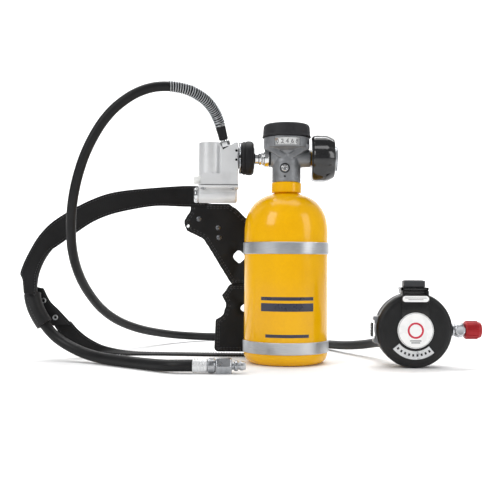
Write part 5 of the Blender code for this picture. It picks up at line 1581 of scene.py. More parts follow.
@dataclass
class HipPad:
    """Padded flap and holster panel of coated cloth, with rivets and seams."""

    swell_cap: float = 0.0022
    swell_frames: int = 20
    voxel: float = 0.0027
    slim: float = 0.0016
    flap: tuple = (
        (-.1235, .2125), (-.1005, .2125), (-.0985, .1945), (-.0700, .1945), (-.0582, .1869),
        (-.0480, .1765), (-.0200, .1620), (.0300, .1560), (.0300, .0897), (-.0660, .0897),
        (-.1030, .1476), (-.1246, .1584), (-.1291, .1707), (-.1200, .1852))
    holster: tuple = (
        (-.0680, .0930), (.0300, .0930), (.0300, .0120), (.0200, .0045), (-.0848, .0045),
        (-.0886, .0085), (-.0877, .0455), (-.0777, .0532), (-.0739, .0670), (-.0792, .0777))
    flap_gap: tuple[float, float, float] = (-0.0570, 0.1261, 0.0090)
    holster_gap: tuple[float, float, float] = (-0.0500, 0.0615, 0.0065)
    tab_hole: tuple[float, float, float] = (-0.1220, 0.1650, 0.0020)

    def build(self) -> None:
        """Make both panels, their seams and rivets."""
        lines = []
        for node, outline, gap in (("pad_flap", self.flap, self.flap_gap),
                                   ("pad_holster", self.holster, self.holster_gap)):
            low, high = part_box(node)
            panel = self.build_panel(node, outline, gap, low.y, high.y)
            lines += self.seam_lines(panel, outline, low.y)
        sewn_piece("pad_seams", lines, THREAD, spacing=0.0040, length=0.0029, thread=0.0010)
        for node in ("rivet_outer", "rivet_upper", "rivet_lower"):
            self.build_rivet(node)

    def build_panel(self, node: str, outline: Sequence[tuple[float, float]],
                    gap: tuple[float, float, float], front: float, back: float) -> Any:
        """Make one panel: cut, filled and swollen.

        Args:
            node: The panel's CAD node.
            outline: Its outline in X and Z.
            gap: Middle and half width of the diamond gap in it.
            front: Y of its front face.
            back: Y of its back face.

        Returns:
            The finished panel.
        """
        bm = bmesh.new()
        add_prism(bm, outline, front + self.slim, back - self.slim)
        shell = raw_object(node + "_cut", bm)
        x, z, reach = gap
        cutter = bmesh.new()
        add_prism(cutter, [(x - reach, z), (x, z - reach), (x + reach, z), (x, z + reach)],
                  front - 0.01, back + 0.01)
        bore(shell, cutter)
        mesh = settle_bored(shell)
        item = linked(node + "_filled", mesh)
        remesh = item.modifiers.new("filled", "REMESH")
        remesh.mode = "VOXEL"
        remesh.voxel_size = self.voxel
        mesh = settled_mesh(item)
        self.swell(mesh)
        item = linked(node + "_smooth", mesh)
        smooth = item.modifiers.new("smooth", "SUBSURF")
        smooth.levels = smooth.render_levels = 1
        mesh = settled_mesh(item)
        if node == "pad_flap":
            mesh = self.punched(mesh, front, back)
        self.unwrap(mesh)
        panel = place_mesh("visual_" + node, mesh, COATED_CLOTH, sharp=70)
        return panel

    def punched(self, mesh: bpy.types.Mesh, front: float, back: float) -> bpy.types.Mesh:
        """Punch the small strap hole through the flap's outer corner.

        Args:
            mesh: The flap's mesh.
            front: Y of its front face.
            back: Y of its back face.

        Returns:
            The punched mesh.
        """
        item = linked("flap_unpunched", mesh)
        cutter = bmesh.new()
        x, z, radius = self.tab_hole
        turn_profile(cutter, disc(radius, 0, back - front + 0.02), (x, front - 0.01, z), ALONG_Y, 24)
        bore(item, cutter)
        return settle_bored(item)

    def swell(self, mesh: bpy.types.Mesh) -> None:
        """Blow a panel up a little as cloth, and keep the result in its mesh.

        Args:
            mesh: The panel's mesh, which is changed.
        """
        item = linked("swelling", mesh)
        rest = [vert.co.copy() for vert in mesh.vertices]
        cloth = item.modifiers.new("cloth", "CLOTH")
        cloth.settings.quality = 4
        cloth.settings.use_pressure = True
        cloth.settings.uniform_pressure_force = 4.0
        cloth.settings.effector_weights.gravity = 0.0
        cloth.point_cache.frame_start, cloth.point_cache.frame_end = 1, self.swell_frames
        scene = bpy.context.scene
        for at in range(1, self.swell_frames + 1):
            scene.frame_set(at)
        shape = item.evaluated_get(bpy.context.evaluated_depsgraph_get()).data
        moved = [vert.co.copy() for vert in shape.vertices]
        item.modifiers.remove(cloth)
        for vert, start, end in zip(mesh.vertices, rest, moved):
            step = end - start
            step *= min(1.0, self.swell_cap / max(step.length, 1e-9))
            step.x, step.z = step.x * 0.4, step.z * 0.4
            vert.co = start + step
        bpy.data.objects.remove(item, do_unlink=True)
        scene.frame_set(1)

    def unwrap(self, mesh: bpy.types.Mesh) -> None:
        """Lay the cloth's weave flat on a panel: X and Z in metres.

        Args:
            mesh: The panel's mesh.
        """
        layer = mesh.uv_layers.new(name="cloth")
        for loop in mesh.loops:
            place = mesh.vertices[loop.vertex_index].co
            layer.data[loop.index].uv = (place.x, place.z)

    def seam_lines(self, panel: Any, outline: Sequence[tuple[float, float]],
                   front: float) -> list[list[Vector]]:
        """Lines of stitches a little inside a panel's outline, laid on its surface.

        Args:
            panel: The finished panel.
            outline: Its outline.
            front: Y of its front face.

        Returns:
            The lines' points.
        """
        corners = [Vector((x, 0, z)) for x, z in outline]
        count = len(corners)
        middle = sum(corners, Vector()) / count
        lines = []
        for inset in (0.0045, 0.0068):
            for at in range(count):
                one, two = corners[at], corners[(at + 1) % count]
                if one.x > -0.004 and two.x > -0.004:
                    continue
                along = (two - one).normalized()
                inward = Vector((-along.z, 0, along.x))
                inward *= 1 if inward.dot(middle - one) > 0 else -1
                line = []
                steps = max(2, int((two - one).length / 0.003))
                for step in range(steps + 1):
                    spot = one.lerp(two, (step + 0.5) / (steps + 1)) + inward * inset
                    hit, place, _, _ = panel.ray_cast((spot.x, front - 0.05, spot.z), (0, 1, 0))
                    if hit and place.y < front + 0.004:
                        line.append(Vector((place.x, place.y, place.z)))
                if len(line) > 2:
                    lines.append(line)
        return lines

    def build_rivet(self, node: str) -> None:
        """Make one domed rivet.

        Args:
            node: The rivet's CAD node.
        """
        low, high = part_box(node)
        place = ((low.x + high.x) / 2, high.y + 0.0006, (low.z + high.z) / 2)
        radius = (high.z - low.z) / 2
        depth = high.y + 0.0006 - low.y
        dome = [(0, 0), (radius, 0), (radius, depth * 0.35)]
        dome += [(radius * 0.86 * math.cos(a), depth * (0.4 + 0.6 * math.sin(a)))
                 for a in (math.pi / 2 * s / 8 for s in range(8))] + [(0, depth)]
        turned_piece("visual_" + node, dome, place, -ALONG_Y, BLACK_NICKEL,
                     segments=48, rounding=0.0001)


# ---------------------------------------------------------------- cylinder valve
@dataclass
class CylinderValve:
    """Cast valve body with its plug, gland nut, outlet nut and seal."""

    column_radius: float = 0.0171
    arm_radius: float = 0.0102
    arm_left: float = 0.0190
    arm_right: float = 0.0285
    head_bore: float = 0.0240
    head_radius: float = 0.0275
    head_height: float = 0.0130
    chamber_radius: float = 0.0062
    window_half: float = 0.0155
    plug_drop: float = 0.0129
    plug_x: float = -0.0025
    vent_drop: float = 0.0228
    voxel: float = 0.00055

    def arm_z(self) -> float:
        """Height of the arms' axis."""
        return centre_of("outlet_nut").z

    def head_z(self) -> float:
        """Height of the gauge head's underside."""
        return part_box("valve_body")[1].z - self.head_height

    def build(self) -> None:
        """Make the casting and what is screwed into it."""
        self.build_casting()
        self.build_trim()

    def build_casting(self) -> None:
        """Cast the column, arms, webs and gauge head in one skin, then bore it."""
        low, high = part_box("valve_body")
        foot, arm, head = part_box("air_cylinder")[1].z + GAP, self.arm_z(), self.head_z()
        bm = bmesh.new()
        column = [(0, low.z), (0.0120, low.z), (0.0120, foot), (self.column_radius, foot),
                  (self.column_radius, foot + 0.0034), (self.column_radius - 0.0006, foot + 0.0037),
                  (self.column_radius - 0.0006, foot + 0.0043), (self.column_radius, foot + 0.0046),
                  (self.column_radius - 0.0002, arm - 0.004), (self.column_radius - 0.0025, arm + 0.003),
                  (self.column_radius - 0.001, head - 0.003), (self.head_radius - 0.006, head),
                  (self.head_radius - 0.0015, head + 0.0010), (self.head_radius - 0.0015, head + 0.0016),
                  (0, head + 0.0016)]
        turn_profile(bm, column, (0, 0, 0), ALONG_Z, 96)
        arms = [(0, -self.arm_left), (self.arm_radius, -self.arm_left),
                (self.arm_radius + 0.0006, -self.arm_left + 0.005), (self.arm_radius + 0.0022, 0),
                (self.arm_radius + 0.0006, self.arm_right - 0.010), (self.arm_radius, self.arm_right),
                (0, self.arm_right)]
        turn_profile(bm, arms, (0, 0, arm), ALONG_X, 72)
        wall = [(self.head_bore, head + 0.0004), (self.head_radius, head + 0.0004),
                (self.head_radius, high.z), (self.head_bore, high.z)]
        turn_profile(bm, wall, (0, 0, 0), ALONG_Z, 128)
        for side in (-1, 1):
            web = [(side * x, z) for x, z in (
                (0.0268, head + 0.0040), (0.0262, head - 0.0012), (0.0205, head - 0.0040),
                (0.0120, arm + 0.0020), (0.0040, arm - 0.0020), (0.0010, arm + 0.0030),
                (0.0090, head - 0.0030), (0.0142, head + 0.0018))]
            add_prism(bm, web if side > 0 else web[::-1], -0.0158, 0.0158)
        casting = cast_mesh("casting", bm, self.voxel, 5)
        cutters = bmesh.new()
        chamber = [(0, -self.arm_left - 0.002), (0.0030, -self.arm_left - 0.002), (0.0030, 0.0015),
                   (self.chamber_radius, 0.0015), (self.chamber_radius, self.arm_right + 0.002),
                   (0, self.arm_right + 0.002)]
        turn_profile(cutters, chamber, (0, 0, arm), ALONG_X, 48)
        recess = [(0, 0.0143), (0.0059, 0.0143), (0.0062, 0.030), (0, 0.030)]
        turn_profile(cutters, recess, (self.plug_x, 0, arm - self.plug_drop), -ALONG_Y, 48)
        vent = disc(0.0012, 0.0140, 0.030)
        turn_profile(cutters, vent, (self.plug_x, 0, arm - self.vent_drop), -ALONG_Y, 24)
        add_block(cutters, (-self.window_half, -0.0320, head + 0.0018),
                  (self.window_half, -0.0195, head + 0.0115))
        bore(casting, cutters)
        mesh = settle_bored(casting)
        place_mesh("visual_valve_body", mesh, GREY_CASTING, sharp=40)
        # Painted shadow: a black disc at the bottom of the vent hole.
        dark = disc(0.00118, 0.0143, 0.0147)
        turned_piece("vent_bottom", dark, (self.plug_x, 0, arm - self.vent_drop), -ALONG_Y, SHADOW_BLACK,
                     segments=24)
        # Painted shadow: a black ring round the burst plug, in the recess that it sits in.
        shade = [(0.0050, 0.0144), (0.0058, 0.0144), (0.0058, 0.0150), (0.0050, 0.0150)]
        turned_piece("plug_seal", shade, (self.plug_x, 0, arm - self.plug_drop), -ALONG_Y,
                     SHADOW_BLACK, segments=48)

    def build_trim(self) -> None:
        """Make the burst plug, gland nut, outlet nut and seal ring."""
        arm = self.arm_z()
        plug = [(0, 0.0144), (0.0046, 0.0144), (0.0046, 0.0178), (0.0040, 0.0187), (0.0022, 0.0187),
                (0.0020, 0.0184), (0, 0.0184)]
        turned_piece("visual_burst_disc_plug", plug, (self.plug_x, 0, arm - self.plug_drop), -ALONG_Y,
                     NICKEL, segments=6, rounding=0.0005, phase=math.radians(12))
        low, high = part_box("gland_nut")
        gland = [(0.0043, 0), (0.0080, 0), (0.0085, 0.0008), (0.0085, 0.0050), (0.0078, 0.0057),
                 (0.0043, 0.0057)]
        turned_piece("visual_gland_nut", gland, (low.x, 0, arm), ALONG_X, BRASS,
                     segments=6, rounding=0.0004)
        low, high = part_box("outlet_o_ring")
        ring = [(0.0072, 0.0), (0.0104, 0.0), (0.0108, 0.0006), (0.0104, 0.0012), (0.0072, 0.0012)]
        turned_piece("visual_outlet_o_ring", ring, (high.x, 0, arm), -ALONG_X, MOULDED_RUBBER, segments=72)
        low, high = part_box("outlet_nut")
        radius, length = (high.z - low.z) / 2, high.x - low.x
        nut = [(0.0030, 0), (radius - 0.0005, 0), (radius, 0.0006), (radius, length - 0.0030),
               (radius - 0.0014, length - 0.0022), (radius - 0.0014, length - 0.0009),
               (radius - 0.0020, length), (0.0030, length)]
        turned_piece("visual_outlet_nut", nut, (high.x, 0, arm), -ALONG_X, NICKEL, segments=96,
                     rounding=0.0004)


@dataclass
class PressureGauge:
    """White drum with its printed scale, the curved window and the rubber cap."""

    rim: float = 0.0232
    figure_height: float = 0.0050
    figure_step: float = 15.0

    def build(self) -> None:
        """Make the drum, its scale, the window and the cap."""
        low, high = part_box("gauge_drum")
        rim = self.rim - 0.0002
        drum = [(0.0024, low.z), (rim, low.z), (rim, high.z), (rim - 0.0010, high.z),
                (rim - 0.0010, low.z + 0.0010), (0.0042, low.z + 0.0010), (0.0042, low.z + 0.0050),
                (0.0024, low.z + 0.0050)]
        turned_piece("visual_gauge_drum", drum, (0, 0, 0), ALONG_Z, LABEL_WHITE, body="gauge", segments=128)
        height = high.z - low.z
        ring_piece("scale_ticks", 90, rim, (0.00016, 0.00045, height * 0.13), low.z + height * 0.10,
                   (0, 0, 0), ALONG_Z, INK_BLACK, body="gauge")
        ring_piece("scale_long_ticks", 18, rim, (0.00018, 0.0008, height * 0.22),
                   low.z + height * 0.14, (0, 0, 0), ALONG_Z, INK_BLACK, body="gauge")
        self.print_figures(rim, low.z + height * 0.30)
        self.build_patch(rim, low.z, height)
        self.build_window()
        self.build_cap()

    def print_figures(self, rim: float, foot: float) -> None:
        """Print the scale's numbers round the drum.

        Args:
            rim: The drum's radius.
            foot: Height of the figures' feet.
        """
        bm = bmesh.new()
        for number in range(18):
            text = bpy.data.curves.new("figure", "FONT")
            text.body = str(number * 2)
            text.size = self.figure_height * 1.35
            text.align_x = "CENTER"
            text.extrude = 0.0001
            text.offset = 0.00025
            item = linked("figure", text)
            mesh = settled_mesh(item)
            middle = math.radians(-90 - 30 + self.figure_step * number)
            for vert in mesh.vertices:
                x, y, z = vert.co
                angle = middle + x / rim
                reach = rim + 0.00012 + z
                vert.co = (reach * math.cos(angle), reach * math.sin(angle), foot + y)
            bm.from_mesh(mesh)
            bpy.data.meshes.remove(mesh)
        bmesh.ops.remove_doubles(bm, verts=bm.verts, dist=1e-6)
        finish_piece("scale_figures", bm, INK_BLACK, body="gauge", sharp=40)

    def build_patch(self, rim: float, foot: float, height: float) -> None:
        """Print the small orange field at the low end of the scale.

        Args:
            rim: The drum's radius.
            foot: Height of the drum's foot.
            height: The drum's height.
        """
        low, high = foot + height * 0.62, foot + height * 0.9
        corners = [(rim + 0.0001, low), (rim + 0.0001, high), (rim - 0.0003, high), (rim - 0.0003, low)]
        bent_bar("scale_low_field", corners, math.radians(-132), math.radians(-118), 6, INK_ORANGE,
                 body="gauge")

    def build_window(self) -> None:
        """Make the clear curved window between the head's posts."""
        low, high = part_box("gauge_window")
        outer = -low.y
        inner = outer - 0.0018
        reach = math.asin(min(0.99, high.x / outer))
        corners = [(outer, low.z), (outer, high.z), (inner, high.z), (inner, low.z)]
        bent_bar("visual_gauge_window", corners, -math.pi / 2 - reach, -math.pi / 2 + reach, 24, ACRYLIC,
                 sharp=40)

    def build_cap(self) -> None:
        """Make the rubber cap with its lip and crown."""
        low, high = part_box("gauge_cap")
        radius, foot, top = (high.x - low.x) / 2, low.z, high.z
        cap = [(0, foot + 0.0030), (0.0240, foot + 0.0030), (0.0240, foot), (radius, foot),
               (radius, foot + 0.0018), (radius - 0.0007, foot + 0.0030), (radius - 0.0010, foot + 0.009),
               (radius - 0.0014, top - 0.0042), (radius - 0.0030, top - 0.0019),
               (radius * 0.6, top - 0.0006),
               (0, top)]
        turned_piece("visual_gauge_cap", cap, (0, 0, 0), ALONG_Z, CAP_RUBBER,
                     segments=128, rounding=0.0012)
        ring_piece("cap_ribs", 24, radius - 0.0001, (0.0004, 0.0016, 0.0012), foot + 0.0009,
                   (0, 0, 0), ALONG_Z, CAP_RUBBER)


@dataclass
class Handwheel:
    """Six-lobed handwheel and its ribbed metal hub."""

    radius: float = 0.0285
    lobes: int = 6
    depth: float = 0.075
    hub_radius: float = 0.0150

    def shape(self, radius: float, angle: float, along: float) -> float:
        """The lobed radius of the wheel.

        Args:
            radius: The plain radius.
            angle: Angle round the axis.
            along: Place along the axis, which doesn't count.

        Returns:
            The radius at that angle.
        """
        if radius < self.hub_radius:
            return radius
        wave = (1 + math.cos(self.lobes * angle)) / 2
        return radius * (1 - self.depth * wave ** 2.2)

    def build(self) -> None:
        """Make the wheel and its hub."""
        low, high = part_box("handwheel")
        axis_z = centre_of("outlet_nut").z
        radius, length = self.radius, high.x - low.x
        wheel = [(0.0041, 0.0082), (0.0100, 0.0082), (0.0100, 0), (radius - 0.0034, 0),
                 (radius - 0.0006, 0.0020), (radius, 0.0052), (radius, length - 0.0108),
                 (radius - 0.0013, length - 0.0068), (radius * 0.84, length - 0.0004),
                 (0.0190, length), (0.0041, length)]
        turned_piece("visual_handwheel", wheel, (low.x, 0, axis_z), ALONG_X, PHENOLIC, body="handwheel",
                     segments=180, rounding=0.0016, shape=self.shape)
        low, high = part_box("wheel_hub")
        hub = [(0, 0), (self.hub_radius - 0.0006, 0), (self.hub_radius - 0.0006, 0.0014),
               (self.hub_radius - 0.0016, 0.0026), (0.0075, 0.0029), (0.0070, 0.0036), (0.0030, 0.0036),
               (0.0028, 0.0030), (0, 0.0030)]
        turned_piece("visual_wheel_hub", hub, (low.x, 0, axis_z), ALONG_X, TURNED_STEEL,
                     body="handwheel", segments=72, rounding=0.0003)
        ring_piece("hub_ribs", 30, self.hub_radius - 0.0022, (0.0042, 0.0011, 0.0012), 0.0024,
                   (low.x, 0, axis_z), ALONG_X, TURNED_STEEL, body="handwheel")


# ---------------------------------------------------------------- coupling and reducer
@dataclass
class Coupling:
    """Nipple and hand-turned wheel between the valve and the reducer."""

    radius: float = 0.0205
    hub_radius: float = 0.0180
    scallops: int = 12

    def scallop(self, radius: float, angle: float, along: float) -> float:
        """The scalloped radius of the hub plate.

        Args:
            radius: The plain radius.
            angle: Angle round the axis.
            along: Place along the axis, which doesn't count.

        Returns:
            The radius at that angle.
        """
        if radius < self.hub_radius - 0.0010:
            return radius
        return radius - 0.0009 * (1 + math.cos(self.scallops * angle)) / 2

    def build(self) -> None:
        """Make the nipple, the wheel, its grip ribs and its hub plate."""
        low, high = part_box("coupling_nipple")
        axis_z = (low.z + high.z) / 2
        length = high.x - low.x
        nipple = [(0.0025, 0), (0.0078, 0), (0.0084, 0.0006), (0.0084, 0.0030), (0.0070, 0.0036),
                  (0.0070, 0.0082), (0.0060, 0.0082), (0.0060, length), (0.0025, length)]
        turned_piece("visual_coupling_nipple", nipple, (high.x, 0, axis_z), -ALONG_X, NICKEL,
                     segments=72, rounding=0.0004)
        low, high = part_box("coupling_wheel")
        radius = self.radius
        wheel = [(0.0064, 0), (0.0120, 0), (0.0128, 0.0008), (0.0160, 0.0008), (radius - 0.0022, 0.0014),
                 (radius - 0.0002, 0.0040), (radius, 0.0070), (radius - 0.0004, 0.0104),
                 (radius - 0.0012, 0.0107), (radius - 0.0012, 0.0113), (radius - 0.0006, 0.0116),
                 (radius - 0.0010, 0.0140), (radius - 0.0026, 0.0158), (0.0140, 0.0160),
                 (0.0128, 0.0120), (0.0064, 0.0120)]
        turned_piece("visual_coupling_wheel", wheel, (high.x, 0, axis_z), -ALONG_X, MOULDED_RUBBER,
                     body="coupling", segments=128, rounding=0.0008)
        ring_piece("wheel_grip", 60, radius - 0.0010, (0.0012, 0.0008, 0.0030), 0.0050,
                   (high.x, 0, axis_z), -ALONG_X, MOULDED_RUBBER, body="coupling")
        hub = [(0.0064, 0.0122), (0.0120, 0.0122), (0.0120, 0.0161), (0.0172, 0.0161),
               (self.hub_radius, 0.0165), (self.hub_radius - 0.0004, 0.0176), (0.0150, 0.0181),
               (0.0064, 0.0181)]
        turned_piece("wheel_hub_plate", hub, (high.x, 0, axis_z), -ALONG_X, TURNED_STEEL,
                     body="coupling", segments=144, rounding=0.0003, shape=self.scallop)
        # Painted shadow: four black blocks stand for the dark slots in the hub plate.
        ring_piece("hub_slots", 4, self.hub_radius - 0.0020, (0.0048, 0.0030, 0.0030), 0.0170,
                   (high.x, 0, axis_z), -ALONG_X, SHADOW_BLACK, body="coupling")


@dataclass
class Reducer:
    """Pale pressure reducer: round tower, block, flange, barrel and small parts."""

    tower_radius: float = 0.0139
    step_drop: float = 0.0196
    tower_inset: float = 0.0334
    block_start: float = 0.0128
    web_depth: float = 0.0090
    barrel_radius: float = 0.0091
    flange_height: float = 0.0033
    hole_drops: tuple[float, float] = (-0.0076, 0.0032)
    voxel: float = 0.00055
    hole_radius: float = 0.0016

    def build(self) -> None:
        """Make the body, the barrel and the small parts on them."""
        low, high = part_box("reducer_body")
        arm_z = centre_of("outlet_nut").z
        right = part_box("lower_barrel")[1].x - 0.0005
        tower_x = right - self.tower_inset
        self.build_body(low, high, arm_z, right, tower_x)
        self.build_barrel(arm_z, right, tower_x)

    def build_body(self, low: Vector, high: Vector, arm_z: float, right: float, tower_x: float) -> None:
        """Cast the tower and the block in one skin, with the hose notch cut in.

        Args:
            low: The body's lowest corner.
            high: Its highest corner.
            arm_z: Height of the coupling's axis.
            right: X of the block's right face.
            tower_x: X of the tower's axis.
        """
        radius, step_top = self.tower_radius, arm_z - self.step_drop
        bm = bmesh.new()
        tower = disc(radius, step_top - 0.002, high.z)
        turn_profile(bm, tower, (tower_x, 0, 0), ALONG_Z, 96)
        add_block(bm, (tower_x, -self.web_depth, step_top - 0.0015),
                  (tower_x + self.block_start + 0.0040, self.web_depth, high.z - 0.0008))
        add_block(bm, (tower_x + self.block_start, -radius - 0.0002, step_top - 0.002),
                  (right, radius + 0.0002, high.z - 0.0004))
        add_block(bm, (tower_x - 0.0107, -radius - 0.0005, low.z),
                  (right - 0.0002, radius + 0.0005, step_top))
        boss = disc(0.0125, 0, 0.0031)
        turn_profile(bm, boss, (right - 0.0020, 0, arm_z), ALONG_X, 72)
        body = cast_mesh("reducer_casting", bm, self.voxel, 3)
        cutters = bmesh.new()
        top = high.z + 0.002
        notch = [(tower_x + 0.0098, top), (tower_x + 0.0156, high.z - 0.0094), (tower_x + 0.0345, top)]
        add_prism(cutters, notch, -radius - 0.002, radius + 0.002)
        for drop in self.hole_drops:
            hole = disc(self.hole_radius, 0, 0.02)
            turn_profile(cutters, hole, (right - 0.0020, -radius + 0.0060, arm_z - drop), -ALONG_Y, 28)
        passage = disc(0.0063, 0.0006, 0.0060)
        turn_profile(cutters, passage, (right - 0.0020, 0, arm_z), ALONG_X, 32)
        piston = disc(0.0088, low.z - 0.002, low.z + 0.0390)
        turn_profile(cutters, piston, (tower_x, 0, 0), ALONG_Z, 48)
        bore(body, cutters)
        place_mesh("visual_reducer_body", settle_bored(body), BLASTED_ALUMINIUM, sharp=40)
        # Painted shadow: black discs inside the two holes in the block.
        for number, drop in enumerate(self.hole_drops):
            dark = disc(self.hole_radius - 0.0001, 0, 0.0010)
            turned_piece(f"block_hole_{number + 1}", dark,
                         (right - 0.0020, -radius + 0.0050, arm_z - drop), -ALONG_Y, SHADOW_BLACK,
                         segments=24)

    def build_barrel(self, arm_z: float, right: float, tower_x: float) -> None:
        """Make the flanged barrel, its end cap, the relief cap and the flange screws.

        Args:
            arm_z: Height of the coupling's axis.
            right: X of the block's right face.
            tower_x: X of the tower's axis.
        """
        low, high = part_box("lower_barrel")
        flange_foot = high.z - self.flange_height
        radius, axis_z = self.barrel_radius, low.z + self.barrel_radius
        bm = bmesh.new()
        add_block(bm, (low.x, low.y, flange_foot), high, 0.0007, 3)
        # A thin black rubber seal in the gap under the reducer body; besides being a seal it paints the
        # dark shadow line along the flange.
        seal = bmesh.new()
        add_block(seal, (low.x + 0.0001, low.y - 0.0001, high.z - 0.0001),
                  (high.x - 0.0001, high.y + 0.0001, high.z + 0.0004))
        finish_piece("flange_seal", seal, MOULDED_RUBBER)
        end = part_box("barrel_end_cap")[1].x + GAP
        reach = right - 0.0013 - end
        barrel = [(0, 0), (radius - 0.0016, 0), (radius, 0.0018), (radius, reach), (0, reach)]
        turn_profile(bm, soften(barrel, 0.0006), (right - 0.0013, 0, axis_z), -ALONG_X, 96)
        add_block(bm, (end + 0.0012, -radius * 0.93, axis_z),
                  (right - 0.0030, radius * 0.93, flange_foot + 0.0006), 0.0006)
        finish_piece("visual_lower_barrel", bm, BLASTED_ALUMINIUM)
        low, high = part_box("barrel_end_cap")
        length = high.x - low.x
        cap = [(0, 0), (radius - 0.0007, 0), (radius - 0.0007, 0.0006), (radius, 0.0008),
               (radius, length * 0.66), (radius - 0.0014, length), (0.0040, length),
               (0.0037, length - 0.0006), (0, length - 0.0006)]
        turned_piece("visual_barrel_end_cap", cap, (high.x, 0, axis_z), -ALONG_X, NICKEL, segments=96,
                     rounding=0.0004)
        low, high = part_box("relief_cap")
        reach, length = (high.z - low.z) / 2, high.x - low.x
        relief = [(0, 0), (reach - 0.0007, 0), (reach - 0.0003, 0.0012), (reach, length - 0.0014),
                  (reach - 0.0008, length), (reach - 0.0020, length), (reach - 0.0022, length - 0.0012),
                  (0, length - 0.0012)]
        turned_piece("visual_relief_cap", relief, (high.x, (low.y + high.y) / 2, (low.z + high.z) / 2),
                     -ALONG_X, ACETAL, segments=64, rounding=0.0004)
        self.drive_screws(flange_foot, tower_x, right)

    def drive_screws(self, flange_foot: float, tower_x: float, right: float) -> None:
        """Drive the screws under the flange, paint shadow into their sockets and set the black dots that
        show beside them.

        Args:
            flange_foot: Height of the flange's underside.
            tower_x: X of the tower's axis.
            right: X of the block's right face.
        """
        spots = [(x, y, flange_foot - 0.0007) for x in (tower_x - 0.0075, right - 0.0058)
                 for y in (-0.0125, 0.0125)]
        # The second row is painted shadow: flat black hexagons for the screws' sockets.
        for name, radius, height, sides, drop, finish in (
                ("flange_screws", 0.0028, 0.0020, 24, 0.0, TURNED_STEEL),
                ("screw_sockets", 0.0015, 0.0003, 6, 0.0011, SHADOW_BLACK)):
            bm = bmesh.new()
            for x, y, z in spots:
                bm.verts.new((x, y, z - drop))
            mesh = stud_tree().grow(name, raw_object(name + "_seed", bm), {
                "Radius": radius, "Height": height, "Sides": sides, "Turn": (0.0, 0.0, 0.0),
                "Material": finish.material()})
            place_mesh(name, mesh, finish)
        # Two small black dots on the tower's face, in the flat black used for painted shadow.
        bm = bmesh.new()
        for x, z in ((-0.0106, 0.0205), (-0.0040, 0.0186)):
            bm.verts.new((tower_x + 0.0050 + x, -0.0135 + abs(x) * 0.35, flange_foot + 0.0016 + z))
        mesh = stud_tree().grow("tower_marks", raw_object("marks_seed", bm), {
            "Radius": 0.00045, "Height": 0.0016, "Sides": 16, "Turn": (math.pi / 2, 0.0, 0.0),
            "Material": SHADOW_BLACK.material()})
        place_mesh("tower_marks", mesh, SHADOW_BLACK)


